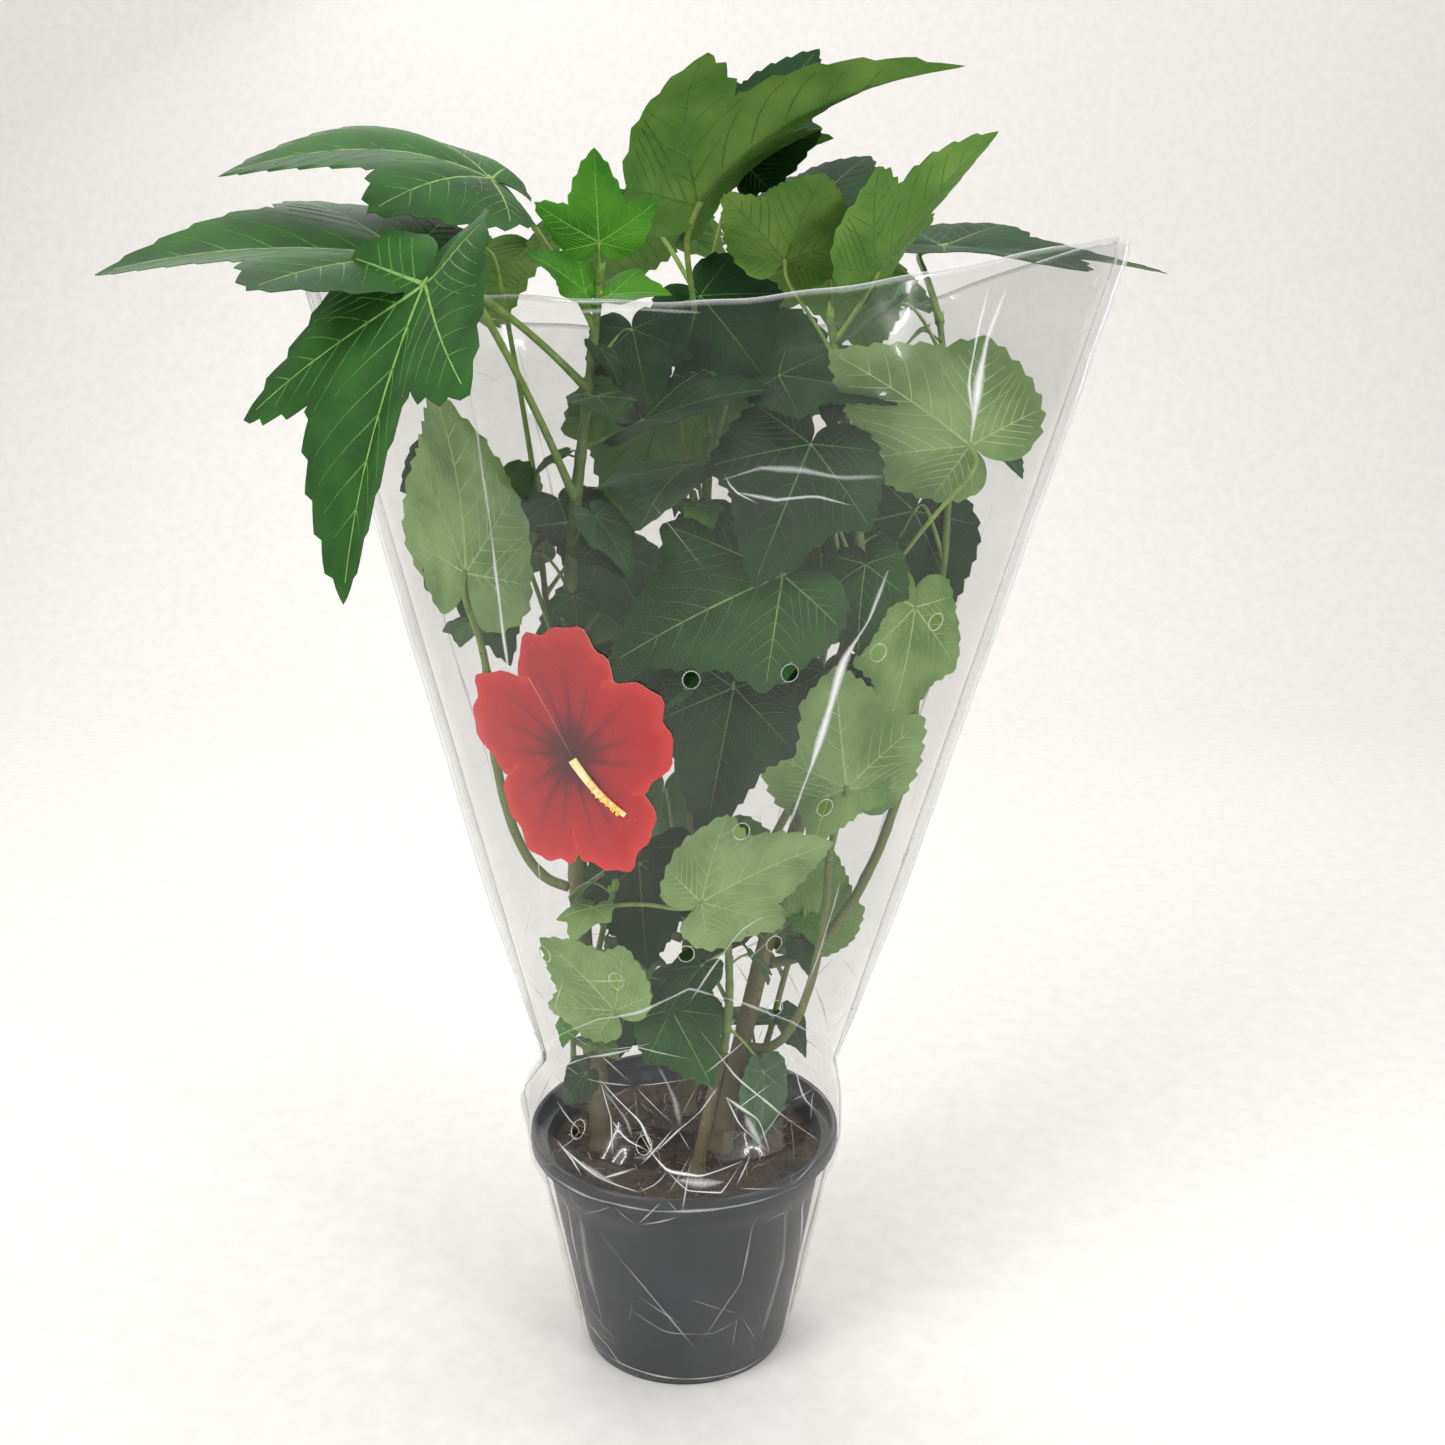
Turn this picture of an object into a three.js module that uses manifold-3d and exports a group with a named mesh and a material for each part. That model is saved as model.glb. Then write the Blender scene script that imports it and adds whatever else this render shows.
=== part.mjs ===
// A potted hibiscus shrub in a clear film sleeve, the way it stands in a shop.
// Millimetres, +Z up. The origin is the centre of the pot's flat underside, and -Y is the front.
// Four stems rise from the soil. Boughs leave the stems sideways, and each mass of leaves
// carries on from the tip of a stem or of a bough, or from a stem's side.
// Bearings are degrees anticlockwise from +X, seen from above. Rises are degrees above level.

import * as THREE from "three";
import { mergeVertices } from "three/addons/utils/BufferGeometryUtils.js";
import Module from "manifold-3d";

const wasm = await Module();
wasm.setup();

// The gap between two pieces that touch.
const CLEAR = 0.3;

const POT = {
  height: 145, rimRadius: 95, rimHeight: 11, rimWall: 3.5, ledge: 2.5, shoulderRadius: 87, footRadius: 63,
  wall: 2.5, floor: 3, sides: 40,
};
const SOIL_TOP = 130;

// The film sleeve's half width to the left and right, and its half depth to the front and back,
// at each height. It hugs the pot, rides over the rim, draws in above it and widens to the mouth.
const SLEEVE = [
  { z: 4, left: 66, right: 66, front: 66, back: 66 },
  { z: 60, left: 77, right: 77, front: 76, back: 77 },
  { z: 118, left: 89, right: 89, front: 88, back: 89 },
  { z: 132, left: 96.3, right: 96.3, front: 96.3, back: 96.3 },
  { z: 148, left: 96.3, right: 96.3, front: 96.3, back: 96.3 },
  { z: 166, left: 99, right: 96, front: 94, back: 95 },
  { z: 186, left: 84, right: 92, front: 85, back: 87 },
  { z: 660, left: 200, right: 236, front: 127, back: 132 },
];
const MOUTH = { front: 638, back: 622, right: 669, left: 645, frontPower: 3, backPower: 6 };
const SLEEVE_WALL = 0.8;
const SLEEVE_STEPS = 16;
const SLEEVE_ROWS = [0, 0.1, 0.28, 0.5, 0.75, 1];
// Below 2 the film's section is pinched a little at its two welded seams.
const SECTION = { power: 1.88, fromHeight: 186, rampHeight: 120 };

const LABEL = {
  bearing: 240, height: 407, petals: 5, petalReach: 68, notchReach: 38, width: 0.8, roundness: 0.6,
  spokesPerPetal: 6, rings: 5, wall: 0.5, lift: 1.05,
};

const STEM_SIDES = 7;
const STEM_STEPS = 9;
const BOUGH_SIDES = 6;
const BOUGH_CURVE = { steps: 7, leaving: 0.25, rising: 0.4 };
const SHOOT_SIDES = 5;
const SHOOT = { straight: 6, sideRadius: 2.2, endRadius: 2, taper: 0.7, steps: 6 };

// Each stem: the points that its middle line passes through, and its radius at foot and tip.
const STEMS = {
  stem_left: { path: [[-50, -8, SOIL_TOP], [-61, -9, 290], [-63, -10, 462]], foot: 7, tip: 4.6 },
  stem_right: { path: [[22, -10, SOIL_TOP], [40, -11, 225], [92, -11, 440]], foot: 6.5, tip: 4.2 },
  stem_back: { path: [[0, 36, SOIL_TOP], [5, 54, 290], [12, 60, 440]], foot: 6, tip: 4 },
  stem_front: { path: [[8, -38, SOIL_TOP], [16, -44, 175], [24, -47, 215]], foot: 4, tip: 3 },
};
const FOOT_FLARE = 1.35;
const FLARE_HEIGHT = 8;

// Each bough leaves a stem's side at a share of its length, and bends up to its tip.
const BOUGHS = {
  bough_left: { from: "stem_left", share: 0.58, tip: [-112, -2, 430], root: 3, end: 2.4 },
  bough_centre: { from: "stem_left", share: 0.66, tip: [-10, -34, 440], root: 3, end: 2.4 },
  bough_right: { from: "stem_right", share: 0.62, tip: [138, 14, 420], root: 3.2, end: 2.6 },
  bough_right_front: { from: "stem_right", share: 0.45, tip: [84, -42, 330], root: 2.8, end: 2.2 },
  bough_back_left: { from: "stem_back", share: 0.42, tip: [-72, 66, 400], root: 3, end: 2.4 },
  bough_back_right: { from: "stem_back", share: 0.5, tip: [84, 68, 410], root: 3, end: 2.4 },
};

// Each mass: the limb that it carries on from, its own stem's points after the limb, its seeded
// leaves, and the leaves that stand out. A standing leaf is [share along the stem, where the blade
// meets its stalk, the tip of its middle lobe, the bearing and rise that its upper side faces,
// how lobed it is, how many degrees its halves fold up, and its bend where that isn't the usual].
const MASSES = {
  leaves_left_top: {
    from: "stem_left", path: [[-58, -9, 530], [-48, -9, 600], [-42, -8, 650]],
    seeded: 9, blade: 46, stalk: 30,
    standing: [
      [0.5, [-117, -116, 645], [-155, -173, 504], [219, 31], 1.25, 16, 0.13],
      [0.72, [-127, -38, 650], [-284, -52, 644], [261, 73], 0.8, 10, 0.2],
      [0.86, [-100, 0, 700], [-238, -20, 703], [262, 70], 0.9, 8, 0.5],
      [0.97, [-41, -25, 667], [-41, -47, 712], [270, 30], 1.3, 8],
      [0.9, [-50, -14, 642], [-80, -26, 662], [285, 50], 0.5, 20],
      [0.94, [-36, -14, 640], [-3, -24, 640], [265, 60], 0.4, 20],
      [0.6, [-20, -22, 574], [50, -40, 592], [262, 72], 0.5, 14],
      [0.75, [-26, 10, 622], [-16, -8, 575], [275, 20], 0.7, 8],
    ],
  },
  leaves_right_top: {
    from: "stem_right", path: [[101, -10, 500], [92, -8, 570], [82, -4, 628]],
    seeded: 4, blade: 60, stalk: 40,
    standing: [
      [0.94, [106, -10, 651], [167, -20, 722], [140, 52], 1.15, 20],
      [0.9, [57, -10, 658], [74, -66, 700], [80, 52], 0.9, 12],
      [0.3, [172, -48, 562], [93, -80, 613], [78, 30], 0.4, 8],
      [0.45, [54, -20, 598], [116, -45, 585], [280, 58], 0.5, 8],
      [0.3, [71, -34, 563], [40, -68, 492], [268, 20], 0.5, 8],
    ],
  },
  leaves_back_top: {
    from: "stem_back", path: [[14, 60, 520], [16, 58, 600], [12, 54, 650]], seeded: 8, blade: 92, stalk: 62,
    standing: [
      [0.62, [10, 8, 687], [144, -54, 749], [134, 55], 1.35, 40, 0.58],
      [0.95, [34, 70, 716], [78, 80, 777], [262, 55], 0.7, 8],
      [0.85, [69, 70, 682], [113, 120, 722], [258, 62], 0.6, 0],
      [0.7, [11, 34, 640], [54, 24, 586], [272, 28], 0.5, 8],
      [0.3, [-10, 90, 585], [-38, 101, 492], [95, 25], 0.6, 8],
      [0.9, [-30, 98, 694], [-50, 192, 644], [100, 62], 0.9, -8],
      [0.55, [42, 88, 612], [48, 100, 520], [85, 25], 0.5, 8],
    ],
  },
  leaves_left: {
    from: "bough_left", path: [[-120, -2, 470], [-124, 2, 520]], seeded: 4, blade: 66, stalk: 36,
    standing: [
      [0.4, [-117, -32, 493], [-124, -58, 596], [45, 8], 0.1, 8],
      [0.7, [-131, 12, 555], [-129, -4, 507], [256, 30], 0.5, 6],
    ],
  },
  leaves_centre: {
    from: "bough_centre", path: [[2, -32, 480], [8, -28, 530]], seeded: 4, blade: 70, stalk: 40,
    standing: [
      [0.6, [56, -50, 495], [-36, -78, 451], [262, 38], 0.5, 8],
      [0.45, [30, -50, 433], [14, -80, 354], [268, 25], 0.5, 34],
      [0.5, [-4, -48, 450], [-46, -64, 428], [262, 40], 0.4, 8],
    ],
  },
  leaves_right: {
    from: "bough_right", path: [[152, 18, 490], [154, 32, 570], [150, 58, 625]],
    seeded: 4, blade: 74, stalk: 46,
    standing: [
      [1, [154, 134, 664], [300, 154, 650], [262, 80], 0.8, 6, 0.05],
      [0.4, [140, -4, 470], [122, -24, 390], [320, 22], 0.5, 8],
      [0.5, [168, 36, 520], [124, 46, 440], [300, 28], 0.6, 8],
    ],
  },
  leaves_right_front: {
    from: "bough_right_front", path: [[88, -44, 350], [92, -44, 372]], seeded: 3, blade: 60, stalk: 34,
    standing: [
      [0.7, [96, -52, 374], [86, -74, 452], [98, 14], 0.6, 8],
      [0.3, [92, -20, 388], [74, -50, 344], [268, 42], 0.4, 8],
    ],
  },
  leaves_back_left: {
    from: "bough_back_left", path: [[-84, 68, 450], [-88, 70, 530]], seeded: 5, blade: 86, stalk: 56,
    standing: [
      [0.95, [-124, 106, 664], [-206, 160, 596], [150, 50], 0.9, -12],
      [0.4, [-112, 66, 522], [-106, 56, 424], [145, 15], 0.5, 8],
      [0.45, [-42, 78, 452], [-44, 68, 362], [100, 15], 0.5, 8],
    ],
  },
  leaves_back_right: {
    from: "bough_back_right", path: [[94, 70, 470], [98, 70, 550]], seeded: 5, blade: 86, stalk: 56,
    standing: [
      [0.95, [88, 134, 664], [118, 200, 600], [64, 50], 0.8, -8],
      [0.4, [110, 84, 530], [116, 66, 438], [40, 15], 0.5, 8],
      [0.45, [52, 78, 470], [52, 70, 384], [80, 15], 0.5, 8],
    ],
  },
  leaves_front_low: {
    from: "stem_front", path: [[28, -48, 250], [26, -46, 296]], seeded: 3, blade: 52, stalk: 30,
    standing: [
      [0.9, [8, -26, 333], [6, -60, 298], [270, 45], 0.05, 6],
      [0.6, [-25, -16, 319], [-20, -32, 259], [262, 25], 0.3, 8],
      [0.4, [-6, -46, 240], [18, -64, 200], [272, 30], 0.4, 8],
      [0.45, [48, -34, 196], [44, -48, 152], [325, 10], 0.3, 8],
    ],
  },
  leaves_left_low: {
    from: "stem_left", side: { share: 0.45, bearing: 300 }, path: [[-44, -34, 292], [-38, -42, 312]],
    seeded: 2, blade: 60, stalk: 40,
    standing: [
      [0.8, [12, -76, 318], [85, -70, 350], [95, 22], 0.8, 8],
    ],
  },
  leaves_left_foot: {
    from: "stem_left", side: { share: 0.2, bearing: 215 }, path: [[-66, -22, 206], [-64, -28, 226]],
    seeded: 2, blade: 44, stalk: 30,
    standing: [
      [0.3, [-56, -46, 200], [-70, -56, 178], [235, 40], 0.2, 8],
      [0.8, [-38, -50, 245], [-80, -62, 288], [100, 30], 0.7, 8],
    ],
  },
  leaves_right_low: {
    from: "stem_right", side: { share: 0.3, bearing: 20 }, path: [[62, -2, 245], [72, 2, 275]],
    seeded: 4, blade: 70, stalk: 40,
    standing: [
      [0.7, [88, 4, 262], [102, 2, 318], [300, 30], 0.4, 12],
    ],
  },
  leaves_back_low: {
    from: "stem_back", side: { share: 0.3, bearing: 100 }, path: [[0, 62, 240], [-6, 66, 290]],
    seeded: 4, blade: 70, stalk: 40,
    standing: [
      [0.9, [-14, 82, 334], [-20, 79, 266], [95, 15], 0.5, 8],
      [0.6, [26, 80, 302], [38, 74, 240], [75, 15], 0.4, 8],
    ],
  },
};

// The blade's half outline as [degrees from the middle lobe, reach as a share of its length].
const LOBED = [
  [0, 1], [11, 0.82], [22, 0.68], [35, 0.55], [45, 0.66], [54, 0.76], [66, 0.6], [82, 0.5], [118, 0.36],
  [150, 0.24], [180, 0.05],
];
const HEART = [
  [0, 1], [8, 0.87], [20, 0.76], [35, 0.69], [54, 0.62], [82, 0.53], [118, 0.42], [150, 0.31], [180, 0.06],
];
const OUTLINE_ANGLES = [0, 20, 36, 54, 86, 135, 164];
// The blade is a fan from a hub on its middle lobe, a share of its length ahead of the stalk.
const OUTLINE_HUB = 0.3;
const FOLD = 9;
const BEND = 0.17;
const BLADE_THICKNESS = 0.018;
const STALK_WIDTH = 0.03;
const STALK_ARCH = 0.1;
const STALK_SIDES = 4;
// Just before the notch the stalk bends at an elbow, behind and under the blade.
const ELBOW = { behind: 0.12, under: 0.03 };

const TURN = 137.5;
const SEEDED = {
  rise: 36, riseSpread: 30, bladeRise: -42, bladeSpread: 56, bearingSpread: 50, rollSpread: 36,
  lengthSpread: 0.3, leastLobing: 0.3, lobingSpread: 0.6, tries: 60, shrink: 0.988,
  bearingWiden: 8, riseWiden: 2, firstSeed: 71, nextSeed: 13,
};
// The least room between leaves, limbs, the film and the soil.
const ROOM = 0.7;
const SLEEVE_ROOM = 3.2;
const SOIL_ROOM = 3;
// A standing leaf without room slides to the front or back in steps, and off the film. One that
// hangs over the mouth is lifted as well.
const SLIDE = { step: 4, lift: 3, reach: 9 };

const COLOURS = {
  pot: { color: 0x3b3f42, roughness: 0.5 },
  soil: { color: 0x3a2b20, roughness: 1 },
  stem: { color: 0x5d7a3c, roughness: 0.6 },
  bough: { color: 0x6c8f45, roughness: 0.6 },
  leaves: { color: 0x2c5f24, roughness: 0.55 },
  sleeve: { color: 0xdfe3e2, roughness: 0.1, transparent: true, opacity: 0.25 },
  label: { color: 0xc12a2c, roughness: 0.35 },
};

const group = new THREE.Group();
const vec = ([x, y, z]) => new THREE.Vector3(x, y, z);
const radians = THREE.MathUtils.degToRad;

function addPiece(name, geometry, look) {
  geometry.computeVertexNormals();
  const mesh = new THREE.Mesh(geometry, new THREE.MeshStandardMaterial({ metalness: 0, ...COLOURS[look] }));
  mesh.name = name;
  group.add(mesh);
}

function closedGeometry(vertices, triangles) {
  const geometry = new THREE.BufferGeometry();
  const numbers = vertices.flatMap((v) => v.toArray());
  geometry.setAttribute("position", new THREE.Float32BufferAttribute(numbers, 3));
  geometry.setIndex(triangles.flat());
  return geometry;
}

function toSolid(geometry) {
  const bare = geometry.clone();
  bare.deleteAttribute("normal");
  bare.deleteAttribute("uv");
  const merged = mergeVertices(bare, 1e-4);
  return new wasm.Manifold(new wasm.Mesh({
    numProp: 3,
    vertProperties: new Float32Array(merged.attributes.position.array),
    triVerts: new Uint32Array(merged.index.array),
  }));
}

function fromSolid(solid) {
  const mesh = solid.getMesh();
  const geometry = new THREE.BufferGeometry();
  geometry.setAttribute("position", new THREE.BufferAttribute(mesh.vertProperties, 3));
  geometry.setIndex(new THREE.BufferAttribute(mesh.triVerts, 1));
  return geometry;
}

// The unit vector with this bearing and rise.
function heading(bearing, rise) {
  const [b, r] = [radians(bearing), radians(rise)];
  return new THREE.Vector3(Math.cos(r) * Math.cos(b), Math.cos(r) * Math.sin(b), Math.sin(r));
}

// One number after another from 0 to 1, the same on every run.
function seededNumbers(seed) {
  let state = seed >>> 0;
  return () => {
    state = (state + 0x6d2b79f5) >>> 0;
    let mixed = Math.imul(state ^ (state >>> 15), state | 1);
    mixed ^= mixed + Math.imul(mixed ^ (mixed >>> 7), mixed | 61);
    return ((mixed ^ (mixed >>> 14)) >>> 0) / 4294967296;
  };
}

// A value between two stations of a list that is sorted by its key.
function between(list, at, key, value) {
  const high = Math.max(1, list.findIndex((item) => key(item) >= at));
  const [a, b] = [list[high - 1], list[high]];
  const share = Math.min(1, Math.max(0, (at - key(a)) / (key(b) - key(a))));
  return value(a) + (value(b) - value(a)) * share;
}

// The film's distance from the pot's axis, at a bearing and a height.
function sleeveReach(bearing, z) {
  const [c, s] = [Math.cos(radians(bearing)), Math.sin(radians(bearing))];
  const height = Math.min(z, SLEEVE.at(-1).z);
  const along = (side) => between(SLEEVE, height, (row) => row.z, (row) => row[side]);
  const wide = Math.abs(c) / along(c > 0 ? "right" : "left");
  const deep = Math.abs(s) / along(s > 0 ? "back" : "front");
  const upper = Math.min(1, Math.max(0, (z - SECTION.fromHeight) / SECTION.rampHeight));
  const power = 2 + (SECTION.power - 2) * upper;
  return (wide ** power + deep ** power) ** (-1 / power);
}

// The height of the sleeve's mouth, which rises to a peak at each seam.
function mouthHeight(bearing) {
  const [c, s] = [Math.cos(radians(bearing)), Math.sin(radians(bearing))];
  const low = s > 0 ? MOUTH.back : MOUTH.front;
  const peak = c > 0 ? MOUTH.right : MOUTH.left;
  return low + (peak - low) * Math.abs(c) ** (s > 0 ? MOUTH.backPower : MOUTH.frontPower);
}

// A closed tapering tube through rings of points. The first ring may be turned to face a direction.
function tube(points, radii, sides, facing = null) {
  const last = points.length - 1;
  const vertices = [];
  const triangles = [];
  let across = new THREE.Vector3(0.31, -0.93, 0.18);
  points.forEach((point, i) => {
    const ahead = points[Math.min(i + 1, last)].clone().sub(point).normalize();
    const along = point.clone().sub(points[Math.max(i - 1, 0)]).normalize().add(ahead).normalize();
    if (i === 0 && facing) along.copy(facing);
    across = across.clone().addScaledVector(along, -across.dot(along)).normalize();
    const third = along.clone().cross(across);
    for (let k = 0; k < sides; k++) {
      const turn = (2 * Math.PI * k) / sides;
      const vertex = point.clone().addScaledVector(across, radii[i] * Math.cos(turn));
      vertices.push(vertex.addScaledVector(third, radii[i] * Math.sin(turn)));
    }
    if (i === 0) return;
    for (let k = 0; k < sides; k++) {
      const [a, b] = [(i - 1) * sides + k, (i - 1) * sides + ((k + 1) % sides)];
      triangles.push([a, b, b + sides], [a, b + sides, a + sides]);
    }
  });
  for (let k = 1; k < sides - 1; k++) {
    triangles.push([0, k + 1, k], [last * sides, last * sides + k, last * sides + k + 1]);
  }
  return closedGeometry(vertices, triangles);
}

function curvePoints(corners, steps) {
  return new THREE.CatmullRomCurve3(corners, false, "centripetal").getPoints(steps);
}

function taper(count, root, end) {
  return Array.from({ length: count }, (_, i) => root + ((end - root) * i) / (count - 1));
}

// A limb keeps its middle line and radii, so that what leaves it can start on its surface.
function makeLimb(points, root, end) {
  return { points, radii: taper(points.length, root, end) };
}

function limbAt(limb, share) {
  const place = share * (limb.points.length - 1);
  const i = Math.min(Math.floor(place), limb.points.length - 2);
  const point = limb.points[i].clone().lerp(limb.points[i + 1], place - i);
  const along = limb.points[i + 1].clone().sub(limb.points[i]).normalize();
  return { point, along, radius: limb.radii[i] + (limb.radii[i + 1] - limb.radii[i]) * (place - i) };
}

// The point just off a limb's side where a thinner limb starts, and the way that it leaves.
function sideStart(limb, share, bearing) {
  const { point, along, radius } = limbAt(limb, share);
  const away = heading(bearing, 0);
  away.addScaledVector(along, -away.dot(along)).normalize();
  return { start: point.addScaledVector(away, radius + CLEAR), away };
}

function growStems() {
  const limbs = {};
  for (const [name, stem] of Object.entries(STEMS)) {
    const limb = makeLimb(curvePoints(stem.path.map(vec), STEM_STEPS), stem.foot, stem.tip);
    limb.points[0].z += CLEAR;
    const span = limb.points[1].distanceTo(limb.points[0]);
    limb.points.splice(1, 0, limb.points[0].clone().lerp(limb.points[1], FLARE_HEIGHT / span));
    limb.radii.splice(1, 0, stem.foot);
    limb.radii[0] = stem.foot * FOOT_FLARE;
    limbs[name] = limb;
    addPiece(name, tube(limb.points, limb.radii, STEM_SIDES, new THREE.Vector3(0, 0, 1)), "stem");
  }
  return limbs;
}

function growBoughs(limbs) {
  for (const [name, bough] of Object.entries(BOUGHS)) {
    const tip = vec(bough.tip);
    const from = limbAt(limbs[bough.from], bough.share).point;
    const bearing = THREE.MathUtils.radToDeg(Math.atan2(tip.y - from.y, tip.x - from.x));
    const { start, away } = sideStart(limbs[bough.from], bough.share, bearing);
    const reach = start.distanceTo(tip);
    const curve = new THREE.CubicBezierCurve3(
      start, start.clone().addScaledVector(away, reach * BOUGH_CURVE.leaving),
      tip.clone().add(new THREE.Vector3(0, 0, -reach * BOUGH_CURVE.rising)), tip,
    );
    limbs[name] = makeLimb(curve.getPoints(BOUGH_CURVE.steps), bough.root, bough.end);
    addPiece(name, tube(limbs[name].points, limbs[name].radii, BOUGH_SIDES, away), "bough");
  }
}

// A mass's own stem, from just off its limb.
function growShoot(mass, limbs) {
  const limb = limbs[mass.from];
  const corners = mass.path.map(vec);
  const tip = limb.points.at(-1);
  const along = tip.clone().sub(limb.points.at(-2)).normalize();
  const { start, away } = mass.side
    ? sideStart(limb, mass.side.share, mass.side.bearing)
    : { start: tip.clone().addScaledVector(along, CLEAR), away: along };
  corners.unshift(start, start.clone().addScaledVector(away, SHOOT.straight));
  const root = mass.side ? SHOOT.sideRadius : limb.radii.at(-1);
  const end = Math.min(root * SHOOT.taper, SHOOT.endRadius);
  return { ...makeLimb(curvePoints(corners, SHOOT.steps), root, end), away };
}

function outlineReach(angle, lobing) {
  const degrees = Math.abs(angle);
  const lobed = between(LOBED, degrees, (p) => p[0], (p) => p[1]);
  const heart = between(HEART, degrees, (p) => p[0], (p) => p[1]);
  return heart + (lobed - heart) * lobing;
}

// A leaf whose bent middle lobe ends at its tip, with its upper side turned to a direction.
function makeLeaf(shoot, share, joint, tip, face, lobing, fold, bend = BEND) {
  const toTip = tip.clone().sub(joint);
  const stretch = Math.hypot(1, bend);
  const length = toTip.length() / stretch;
  toTip.normalize();
  const facing = face.clone().addScaledVector(toTip, -face.dot(toTip)).normalize();
  const forward = toTip.clone().addScaledVector(facing, bend).divideScalar(stretch);
  const up = facing.clone().addScaledVector(toTip, -bend).divideScalar(stretch);
  const root = limbAt(shoot, share).point;
  return { root, joint, forward, up, side: up.clone().cross(forward), length, lobing, fold, bend };
}

// A point of the blade, at an angle from the middle lobe and a share of the outline's reach.
function bladePoint(leaf, angle, share) {
  const reach = outlineReach(angle, leaf.lobing) * share;
  const across = reach * Math.sin(radians(angle));
  const height = Math.abs(across) * Math.sin(radians(leaf.fold)) - leaf.bend * reach * reach;
  return leaf.joint.clone().addScaledVector(leaf.forward, leaf.length * reach * Math.cos(radians(angle)))
    .addScaledVector(leaf.side, leaf.length * across * Math.cos(radians(leaf.fold)))
    .addScaledVector(leaf.up, leaf.length * height);
}

const ROUND_ANGLES = [...OUTLINE_ANGLES, ...OUTLINE_ANGLES.slice(1).reverse().map((a) => -a)];

// The stalk's bent middle line, from the shoot's middle to the elbow.
function stalkPoints(leaf) {
  const elbow = leaf.joint.clone().addScaledVector(leaf.forward, -leaf.length * ELBOW.behind)
    .addScaledVector(leaf.up, -leaf.length * ELBOW.under);
  const middle = leaf.root.clone().lerp(elbow, 0.5);
  middle.z += leaf.root.distanceTo(elbow) * STALK_ARCH;
  return new THREE.QuadraticBezierCurve3(leaf.root, middle, elbow).getPoints(2);
}

// What the spacing tests read: the blade's triangles, and its edges and stalk as rods
// [from, to, radius].
function measureLeaf(leaf) {
  const rim = ROUND_ANGLES.map((angle) => bladePoint(leaf, angle, 1));
  const next = (i) => rim[(i + 1) % rim.length];
  const half = 0.5 * BLADE_THICKNESS * leaf.length;
  leaf.rim = rim;
  leaf.hub = bladePoint(leaf, 0, OUTLINE_HUB);
  leaf.half = half;
  leaf.triangles = rim.map((p, i) => new THREE.Triangle(leaf.hub, p, next(i)));
  leaf.edges = [...rim.map((p) => [leaf.hub, p, half]), ...rim.map((p, i) => [p, next(i), half])];
  leaf.stalkWidth = 0.5 * STALK_WIDTH * leaf.length + 0.5;
  const line = [...stalkPoints(leaf), leaf.joint];
  leaf.stalk = line.slice(1).map((p, i) => [line[i], p, Math.SQRT2 * leaf.stalkWidth]);
  leaf.box = new THREE.Box3().setFromPoints([leaf.hub, ...rim, ...line]).expandByScalar(2 * leaf.stalkWidth);
  return leaf;
}

function measureLimb(limb) {
  limb.triangles = [];
  limb.edges = limb.points.slice(1).map((p, i) => [limb.points[i], p, limb.radii[i]]);
  limb.stalk = [];
  limb.half = 0;
  limb.box = new THREE.Box3().setFromPoints(limb.points).expandByScalar(limb.radii[0]);
  return limb;
}

// The least distance between two straight rods' middle lines.
function rodDistance([p, q], [r, s]) {
  const [d, e, w] = [q.clone().sub(p), s.clone().sub(r), p.clone().sub(r)];
  const [dd, ee, de, dw, ew] = [d.dot(d), e.dot(e), d.dot(e), d.dot(w), e.dot(w)];
  const clamp = (x) => Math.min(1, Math.max(0, x));
  const cross = dd * ee - de * de;
  let a = cross > 1e-9 ? clamp((de * ew - ee * dw) / cross) : 0;
  const b = clamp((de * a + ew) / ee);
  a = clamp((de * b - dw) / dd);
  return w.addScaledVector(d, a).addScaledVector(e, -b).length();
}

function rodCrosses([p, q], triangle) {
  const ray = new THREE.Ray(p, q.clone().sub(p).normalize());
  const hit = ray.intersectTriangle(triangle.a, triangle.b, triangle.c, false, new THREE.Vector3());
  return hit !== null && hit.distanceTo(p) < p.distanceTo(q);
}

const closest = new THREE.Vector3();

function rodMeetsBlade(rod, triangle, half) {
  const room = rod[2] + half + ROOM;
  const near = (end) => triangle.closestPointToPoint(end, closest).distanceTo(end) < room;
  return near(rod[0]) || near(rod[1]) || rodCrosses(rod, triangle);
}

// Whether two leaves, or a leaf and a limb, have less than the least room between them.
function collide(a, b) {
  if (!a.box.intersectsBox(b.box)) return false;
  const [rodsA, rodsB] = [[...a.edges, ...a.stalk], [...b.edges, ...b.stalk]];
  if (rodsA.some((r) => rodsB.some((s) => rodDistance(r, s) < r[2] + s[2] + ROOM))) return true;
  if (rodsA.some((r) => b.triangles.some((triangle) => rodMeetsBlade(r, triangle, b.half)))) return true;
  return rodsB.some((r) => a.triangles.some((triangle) => rodMeetsBlade(r, triangle, a.half)));
}

function insideSleeve(point) {
  const bearing = THREE.MathUtils.radToDeg(Math.atan2(point.y, point.x));
  return sleeveReach(bearing, point.z) - Math.hypot(point.x, point.y);
}

// A rod is well inside the film, well outside it, or above its mouth, all along.
function rodMeetsSleeve([p, q, radius]) {
  const steps = Math.ceil(p.distanceTo(q) / 4);
  for (let i = 0; i <= steps; i++) {
    const point = p.clone().lerp(q, i / steps);
    const bearing = THREE.MathUtils.radToDeg(Math.atan2(point.y, point.x));
    const below = point.z < mouthHeight(bearing) + ROOM + radius;
    if (below && Math.abs(insideSleeve(point)) < SLEEVE_ROOM + radius) return true;
  }
  return false;
}

function leafFits(leaf, grown, limbs) {
  const rods = [...leaf.edges, ...leaf.stalk];
  if (rods.some(([p, q, radius]) => Math.min(p.z, q.z) < SOIL_TOP + SOIL_ROOM + radius)) return false;
  if (limbs.some((limb) => collide(leaf, limb))) return false;
  if (grown.some((other) => collide(leaf, other))) return false;
  return !rods.some(rodMeetsSleeve);
}

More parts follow.
